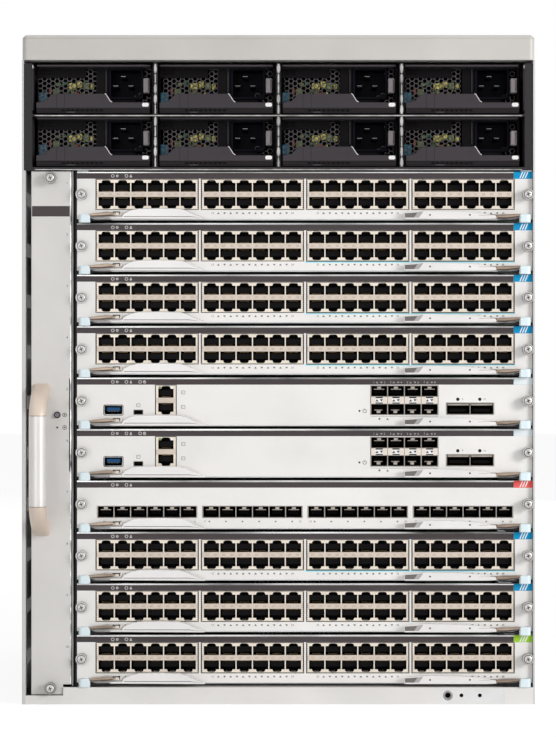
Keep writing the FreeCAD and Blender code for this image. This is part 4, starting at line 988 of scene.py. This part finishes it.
def fan_tray():
    low, high = span("fan_tray")
    form = Form()
    left = low[0]
    y = low[1] + KNOB
    right = left + 34.6
    bottom = low[2]
    top = high[2]
    hx, hz = beacon_place()
    outline = [(left, bottom), (right - 7.2, bottom), (right - 7.2, bottom + 8.7),
               (right, bottom + 8.7), (right, top), (left, top)]
    slit_x = right - 1.45
    slit = rectangle(slit_x - 0.5, slit_x + 0.5, hz - 49, hz + 31.5, 0.4, 2)
    form.solid(outline, "y", slab(y, 0.5, y + 2), "tray", [ring(hx, hz, 2.9, 24), slit])
    form.box(right - 1.1, right, y - 0.15, y + 2, bottom + 9, top - 0.4, "silver", 0.1)
    form.pocket(slit, y + 0.1, y + 2, "hollow")
    inner = left + 3
    rear = high[1]
    frame_low = bottom + 8.7
    holes = [ring(fy, fz, 55, 40) for fy, fz in fan_places(y, frame_low, top)]
    form.solid(rectangle(y + 2, rear, frame_low, top), "x", [(inner, 0), (inner + 1.5, 0)], "zinc",
               holes)
    form.box(inner + 1.5, inner + 26.5, y + 2, rear, frame_low, frame_low + 1.5, "zinc")
    form.box(inner + 1.5, inner + 26.5, y + 2, rear, top - 1.5, top, "zinc")
    form.box(inner + 1.5, inner + 26.5, rear - 1.5, rear, frame_low + 1.5, top - 1.5, "zinc")
    captive_screw(form, left + 17, top - 6.2, y, "knurl", 5.4)
    captive_screw(form, left + 17, bottom + 6.2, y, "knurl", 5.4)
    band = top - 30
    form.mark(rectangle(left + 0.7, right - 1.4, band - 9, band), y, "strip")
    for n in range(1, SLOTS + 1):
        number(form, str(n), right - 3.6, Slot(n).origin[2] + 34.4, 2, y, "ink")
    form.mark(ring(hx, hz - 10.9, 0.9, 16), y, "ink")
    for x, z in ((hx + 6.4, hz), (hx + 6.4, hz - 10.9)):
        form.mark(ring(x, z, 1.9, 20), y, "ink", [ring(x, z, 1.45, 20)])
        form.mark(ring(x, z, 0.7, 12), y, "ink")
    form.piece("tray", "fan_tray", "tray_paint", "fan_tray")


def fan_places(y, low, top):
    """Centres of the fans, in the plane of the tray."""
    step = (top - low - 3) / 3
    return [(y + 2 + 24 + 60 + column * 132,
             low + 1.5 + (row + 0.5) * step) for row in range(3) for column in range(2)]


def beacon_place():
    low, high = span("beacon_button")
    return (low[0] + high[0]) / 2, (low[2] + high[2]) / 2


def fans():
    """Six axial fans with swept blades."""
    low, high = span("fan_bank")
    plate_low, plate_high = span("fan_tray")
    form = Form()
    x0, x1 = low[0], high[0]
    y = plate_low[1] + KNOB
    for fy, fz in fan_places(y, plate_low[2] + 8.7, plate_high[2]):
        form.solid(rectangle(fy - 60, fy + 60, fz - 60, fz + 60, 4, 4), "x",
                   [(x0, 0.5), (x0 + 0.5, 0), (x1 - 0.5, 0), (x1, 0.5)], "fan", [ring(fy, fz, 57, 48)])
        form.lathe((fy, fz), "x", [(22, x0 + 1), (22, x0 + 5)], "fan", 32)
        for i in range(4):
            a = math.radians(45 + 90 * i)
            ca, sa = math.cos(a), math.sin(a)
            outline = [(fy + ca * r - sa * w, fz + sa * r + ca * w) for r,
                       w in ((20, -2), (58, -2), (58, 2), (20, 2))]
            form.solid(outline, "x", [(x0 + 1, 0), (x0 + 3.5, 0)], "fan")
        form.lathe((fy, fz), "x", [(20, x0 + 5.4), (20.5, x0 + 6), (20.5, x1 - 3), (18.5, x1 - 1.2)],
                   "fan", 32)
        for blade in range(7):
            rings = []
            for k in range(7):
                r = 19 + k * 5.8
                sweep = math.radians(blade * 360 / 7 + k * 4)
                half = math.radians(19 - k * 0.7)
                points = []
                for a, x, thick in ((-half, x1 - 4, 0.5), (0, (x0 + x1) / 2 + 2.5, 0.9),
                                    (half, x0 + 7, 0.4), (half, x0 + 7, -0.4),
                                    (0, (x0 + x1) / 2 + 2.5, -0.9), (-half, x1 - 4, -0.5)):
                    points.append((x + thick, fy + r * math.cos(sweep + a),
                                   fz + r * math.sin(sweep + a)))
                rings.append(points)
            form.solid_rings(rings, "fan")
    form.piece("fans", "fan_tray", "fan_plastic", "fan_bank")


def tray_handle():
    """Grip tube with a casting at each end."""
    low, high = span("tray_handle")
    grip_x = (low[0] + high[0]) / 2
    radius = 7.5
    axis = low[1] + radius
    z0 = low[2] + 27
    z1 = high[2] - 27
    form = Form()
    form.lathe((grip_x, axis), "z", [(radius - 0.5, z0 + 0.1), (radius, z0 + 0.5), (radius, z1 - 0.5),
                                     (radius - 0.5, z1 - 0.1)], "grip", 40)
    for end, way in ((z0, -1), (z1, 1)):
        handle_casting(form, grip_x, axis, high[1], end, way)
        form.lathe((grip_x, axis), "z", [(radius - 0.2, end - way * 0.3),
                                         (radius - 0.2, end + way * 0.1)], "ink", 40)
    form.piece("handle", "fan_tray", "handle_metal", "tray_handle", smooth=50)


def handle_casting(form, grip_x, axis, face, end, way):
    """Casting that leans from the end of the grip back to the plate."""
    radius = 7.5
    rings = []
    steps = 16
    for k in range(steps + 1):
        t = k / steps
        y = axis + (face - axis) * (0.25 * t + 0.75 * t * t)
        z = end + way * 20.3 * (1.25 * t - 0.25 * t * t)
        tilt = math.radians(90) * t * t
        across = radius * (1 - 0.03 * t)
        thick = radius * (1 - 0.10 * t)
        power = 1 - 0.62 * t
        points = []
        for i in range(36):
            a = 2 * math.pi * i / 36
            ca, sa = math.cos(a), math.sin(a)
            px = across * math.copysign(abs(ca) ** power, ca)
            pn = thick * math.copysign(abs(sa) ** power, sa)
            points.append((grip_x + px, min(face, y + pn * math.cos(tilt)),
                           z - way * pn * math.sin(tilt)))
        rings.append(points)
    form.solid_rings(rings, "casting")


def beacon():
    x, z = beacon_place()
    low, high = span("beacon_button")
    form = Form()
    form.lathe((x, z), "y", [(1.9, low[1]), (2.4, low[1] + 0.4), (2.6, low[1] + 0.9), (2.6, high[1])],
               "beacon", 32)
    form.mark(ring(x, z, 1.3, 20), low[1], "knurl", [ring(x, z, 0.8, 20)])
    form.piece("beacon", "beacon_button", "button_plastic", "beacon_button")


# ---------------------------------------------------------------- chassis

def bezel():
    low, high = span("top_bezel")
    form = Form()
    y0, y1 = low[1], high[1]
    outline = [(high[0], y1), (low[0], y1)]
    for middle, start in ((low[0] + 5, 180), (high[0] - 5, 270)):
        for i in range(9):
            a = math.radians(start + 90 * i / 8)
            outline.append((middle + 5 * math.cos(a), y0 + 5 + 5 * math.sin(a)))
    groove = high[2] - 3
    levels = [(low[2], 0.3), (low[2] + 0.3, 0), (groove - 0.7, 0), (groove - 0.5, 0.35),
              (groove - 0.1, 0.35), (groove + 0.1, 0), (high[2] - 2.4, 0.1), (high[2] - 0.5, 1.9),
              (high[2], 2.7)]
    form.solid(outline, "z", levels, "bezel")
    form.piece("bezel", "chassis", "bezel_paint", "top_bezel")


def cage_edges():
    """Gasket fingers on the dividers, the shelf edges and the guide blocks above the top card."""
    low, high = span("power_cage")
    form = Form()
    y = low[1]
    shelf = low[2]
    for column in (-1, 0, 1):
        x = column * SUPPLY_PITCH
        for row in range(2):
            z0 = shelf + 3 + row * ROW_STEP
            step = ROW_HIGH / 5
            for i in range(5):
                a = z0 + i * step + 0.2
                b = a + step - 0.4
                swell = 1.2 + 0.4 * math.sin(i * 1.9 + column)
                bulge = [(x - 0.8, a), (x + 0.8, a), (x + swell, a + step * 0.3),
                         (x + swell, b - step * 0.3), (x + 0.8, b), (x - 0.8, b),
                         (x - swell, b - step * 0.3), (x - swell, a + step * 0.3)]
                form.solid(bulge, "y", [(y - 0.9, 0.5), (y - 0.5, 0.1), (y + 6, 0)], "gasket")
            # near-black strips beside each row of fingers: painted shade
            form.box(x - 2.05, x - 1.65, y - 0.2, y + 3, z0, z0 + ROW_HIGH, "inside")
            form.box(x + 1.65, x + 2.05, y - 0.2, y + 3, z0, z0 + ROW_HIGH, "inside")
    for z in (shelf + 0.4, shelf + 3 + ROW_HIGH):
        form.box(low[0] + 9.5, high[0] - 9.5, y - 0.5, y + 1.5, z, z + 1, "gasket", 0.3)
    for x in (low[0] + 7.4, high[0] - 8.2):
        form.box(x, x + 0.8, y - 0.4, y + 3, shelf + 88, shelf + 91, "gasket", 0.2)
        form.box(x, x + 0.6, y - 0.2, y + 3, shelf + 52, shelf + 87.6, "lip", 0.2)
    card_low, card_high = span("line_card_01")
    for x in (card_low[0] + 0.2, card_high[0] - 10.6):
        form.box(x, x + 10.2, y + 0.2, y + 2.8, shelf - 0.6, shelf + 2, "pale", 0.5)
    form.piece("bay_edges", "chassis", "chassis_sheet")


def fascia_fittings():
    form = Form()
    y = span("base_fascia")[0][1]
    z = 7.7
    lug = 165.6
    jack = 146
    form.mark(rectangle(lug - 28, lug + 29.5, 1.4, 13.2, 0.5), y, "pad",
              [ring(lug - 7.94, z, 2, 24), ring(lug + 7.94, z, 2, 24), ring(jack, z, 2.9, 24)])
    form.solid(ring(jack, z, 4.3, 32), "y", [(y - 0.35, 0.7), (y - 0.1, 0), (y + 0.3, 0)], "knurl",
               [ring(jack, z, 2.6, 24)])
    for x, radius in ((lug - 7.94, 2), (lug + 7.94, 2), (jack, 2.8)):
        form.pocket(ring(x, z, radius, 24), y - 0.02, y + 4, "hollow")
    form.piece("fascia_fittings", "chassis", "chassis_sheet")


def wall_channel():
    """Bright folded channel between the fan tray and the cards."""
    low = span("line_card_10")[0]
    top = span("line_card_01")[1][2]
    form = Form()
    x = low[0] - 4.2
    y = low[1] + KNOB - 1
    outline = [(x, y), (x + 0.4, y - 0.6), (x + 1, y - 0.6), (x + 1.4, y), (x + 1.4, y + 14),
               (x, y + 14)]
    form.solid(outline, "z", [(low[2] - 1.5, 0.1), (low[2] - 1.4, 0), (top + 0.2, 0), (top + 0.3, 0.1)],
               "channel")
    form.piece("wall_channel", "chassis", "chassis_sheet")


def vents():
    """Front, rear and lower edge of the long vent beside each card."""
    for n in range(1, SLOTS + 1):
        slot = Slot(n)
        _, y, z = slot.origin
        yield y + 13, y + slot.rear - 13, z + 16.225


def exhausts():
    """Middle and lower edge of each exhaust window in the rear cover."""
    return [((column - 1.5) * SUPPLY_PITCH,
             470.15 + row * ROW_STEP) for column in range(4) for row in range(2)]


def vent_bars():
    """Guard bars in the long vents of both walls."""
    form = Form()
    for y0, y1, z in vents():
        count = int((y1 - y0) / 3.4)
        pitch = (y1 - y0) / count
        for wall in (-220.3, 220.3):
            for i in range(count):
                y = y0 + (i + 0.5) * pitch
                form.box(wall - 0.5, wall + 0.5, y - 0.7, y + 0.7, z - 0.125, z + 12.075, "sheet")
    form.piece("vent_bars", "chassis", "chassis_sheet")


def rear_fittings():
    """Honeycomb in the exhaust windows of the rear cover."""
    rear = span("rear_cover")[1][1]
    form = Form()
    for x, z in exhausts():
        comb(form, [(x - 23.6, x + 23.6, z + 1.4, z + 28.2)], rear - 0.3, -1, 5.2, 1, "sheet")
    form.piece("exhaust_screens", "chassis", "chassis_sheet")


def flush_screws(form, axis, face, out, places):
    """Countersinks at places in an outer face, with crossed heads sunk in them."""
    for u, v in places:
        cross = cross_mouth(u, v, 30 + u, 1.5, 0.32, 0.4)
        levels = [(face - out * 0.25, 0.25), (face - out * 0.4, 0), (face - out * 1.1, 0)]
        form.solid(ring(u, v, 2.9, 28), axis, levels, "screw", [cross])
        # black in the crossed recess and a near-black ring round the head: painted shade in the recess
        # and the gap
        form.solid(cross, axis, [(face - out * 0.9, 0), (face - out * 1.05, 0)], "ink")
        form.solid(ring(u, v, 3.7, 28), axis, [(face - out * 1.1, 0), (face - out * 1.3, 0)], "inside")


def cover(name, node, axis, outline, levels, out, holes, places, hem=None):
    """Sheet that stands for a CAD cover, with openings and countersunk screws."""
    form = Form()
    sinks = [ring(u, v, 3.4, 28) for u, v in places]
    form.solid(outline, axis, levels, "sheet", list(holes) + sinks)
    face = max(levels)[0] if out > 0 else min(levels)[0]
    flush_screws(form, axis, face, out, places)
    if hem:
        form.box(*hem, "sheet")
    form.piece(name, "chassis", "chassis_sheet", node)


def sheets():
    """Side walls with their vents, the top cover and the rear cover, each with its screws."""
    roof = span("top_cover")[0]
    bezel_z = span("top_bezel")[0][2]
    shelf_z = span("power_cage")[0][2]
    for side, node in ((-1, "left_side"), (1, "right_side")):
        low, high = span(node)
        outer = low[0] if side < 0 else high[0]
        inner = outer - side * SHEET
        slits = [rectangle(front, back, z, z + 12) for front, back, z in vents()]
        y0, y1, z0, z1 = low[1], high[1], low[2], high[2]
        places = [(y1 - 9, z) for z in (10, 120, 230, 340, 450, 560)]
        places += [(y, z) for y in (y0 + 30, y0 + 130, y0 + 230, y0 + 330) for z in (7, 470, 560)]
        outline = [(y0, z0), (y1, z0), (y1, z1), (roof[1], z1), (roof[1], bezel_z), (y0, bezel_z)]
        levels = [(outer, 0.3), (outer - side * 0.3, 0), (inner, 0)]
        hem = (inner, high[0], y0, y0 + 12, z0, shelf_z) if side < 0 else None
        cover("wall_" + ("left" if side < 0 else "right"), node, "x", outline, levels, side, slits,
              places, hem)
    low, high = span("rear_cover")
    windows = [rectangle(x - 25, x + 25, z, z + 29.6) for x, z in exhausts()]
    places = [(x, z) for x in (-211, 211) for z in (9, 98, 187, 276, 365, 454, 566)]
    places += [(x, z) for x in (-106, 0, 106) for z in (9, 454, 566)]
    levels = [(low[1], 0), (high[1] - 0.3, 0), (high[1], 0.3)]
    cover("back_cover", "rear_cover", "y", rectangle(low[0], high[0], low[2], high[2]), levels, 1,
          windows, places)
    low, high = span("top_cover")
    places = [(x, y) for x in (-200, -67, 67, 200) for y in (low[1] + 12, 0, high[1] - 10)]
    levels = [(low[2], 0), (high[2] - 0.3, 0), (high[2], 0.3)]
    cover("roof", "top_cover", "z", rectangle(low[0], high[0], low[1], high[1]), levels, 1, [], places)


def paint_cad():
    """Finishes for the CAD nodes that stay."""
    # the steel power cage and card cage take the near-black sheet as painted shade
    for node, paint in (("floor_pan", "zinc"), ("base_fascia", "fascia"), ("power_cage", "inside"),
                        ("card_cage", "inside"), ("backplane", "board")):
        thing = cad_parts[node]
        for place in thing.material_slots:
            place.material = PAINTS[paint]


# ---------------------------------------------------------------- stage

def clear_rays(tree):
    """Output that is 1 for camera, glossy and transmission rays, and 0 for the rest."""
    path = tree.nodes.new("ShaderNodeLightPath")
    seen = path.outputs["Is Camera Ray"]
    for kind in ("Is Glossy Ray", "Is Transmission Ray"):
        either = wired(tree, "ShaderNodeMath", {0: seen, 1: path.outputs[kind]})
        either.operation = "MAXIMUM"
        seen = either.outputs[0]
    return seen


def stage():
    """Backdrop, floor, lamps and the camera."""
    scene = bpy.context.scene
    world = bpy.data.worlds.new("studio")
    scene.world = world
    world.use_nodes = True
    tree = world.node_tree
    level = wired(tree, "ShaderNodeMapRange", {"Value": clear_rays(tree), "To Min": 0.47, "To Max": 1})
    feed(tree, tree.nodes["Background"], {"Color": (1, 1, 1, 1), "Strength": level.outputs["Result"]})

    ground = bpy.data.meshes.new("floor")
    ground.from_pydata([(-8, -8, 0), (8, -8, 0), (8, 8, 0), (-8, 8, 0)], [], [(0, 1, 2, 3)])
    floor = bpy.data.objects.new("floor", ground)
    scene.collection.objects.link(floor)
    paper = bpy.data.materials.new("floor_paper")
    paper.use_nodes = True
    tree = paper.node_tree
    diffuse = feed(tree, tree.nodes["Principled BSDF"],
                   {"Base Color": (0.86, 0.86, 0.86, 1), "Roughness": 0.9, "Specular IOR Level": 0.1})
    glow = wired(tree, "ShaderNodeEmission", {"Strength": 1.22})
    part = wired(tree, "ShaderNodeMath", {0: clear_rays(tree), 1: 0.66})
    part.operation = "MULTIPLY"
    mix = wired(tree, "ShaderNodeMixShader",
                {"Fac": part.outputs[0], 1: diffuse.outputs[0], 2: glow.outputs[0]})
    feed(tree, tree.nodes["Material Output"], {"Surface": mix.outputs[0]})
    ground.materials.append(paper)

    for name, place, size, power in (("key", (2.1, -1.9, 1), 1, 44),
                                     ("fill", (-0.9, -2.3, 0.2), 1.2, 8),
                                     ("top", (0, -0.4, 2.4), 1.6, 6),
                                     ("rear", (0.8, 2.6, 0.9), 1.8, 12)):
        lamp = bpy.data.lights.new(name, "AREA")
        lamp.size = size
        lamp.energy = power
        thing = bpy.data.objects.new(name, lamp)
        thing.location = place
        aim = Vector((0, 0, 0.3)) - Vector(place)
        thing.rotation_euler = aim.to_track_quat("-Z", "Y").to_euler()
        scene.collection.objects.link(thing)

    view = bpy.data.cameras.new("camera")
    view.lens = 113.4
    view.sensor_width = 36
    camera = bpy.data.objects.new("camera", view)
    camera.location = (-0.0004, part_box("base_fascia")[0].y - 2, 0.2894)
    camera.rotation_euler = (math.radians(90), 0, 0)
    scene.collection.objects.link(camera)
    scene.camera = camera
    scene.view_settings.view_transform = "Standard"


def main():
    paint_cad()
    for n in range(1, SLOTS + 1):
        slot = Slot(n)
        if n in SUPERVISORS:
            supervisor(slot)
        elif n == FIBRE:
            fibre_card(slot)
        else:
            copper_card(slot)
        ejector(slot, 1)
        ejector(slot, -1)
    for index in range(1, 9):
        power_supply(index)
        supply_latch(index)
    for build in (fan_tray, fans, tray_handle, beacon, bezel, cage_edges, wall_channel, vent_bars,
                  sheets, rear_fittings, fascia_fittings, stage):
        build()


main()
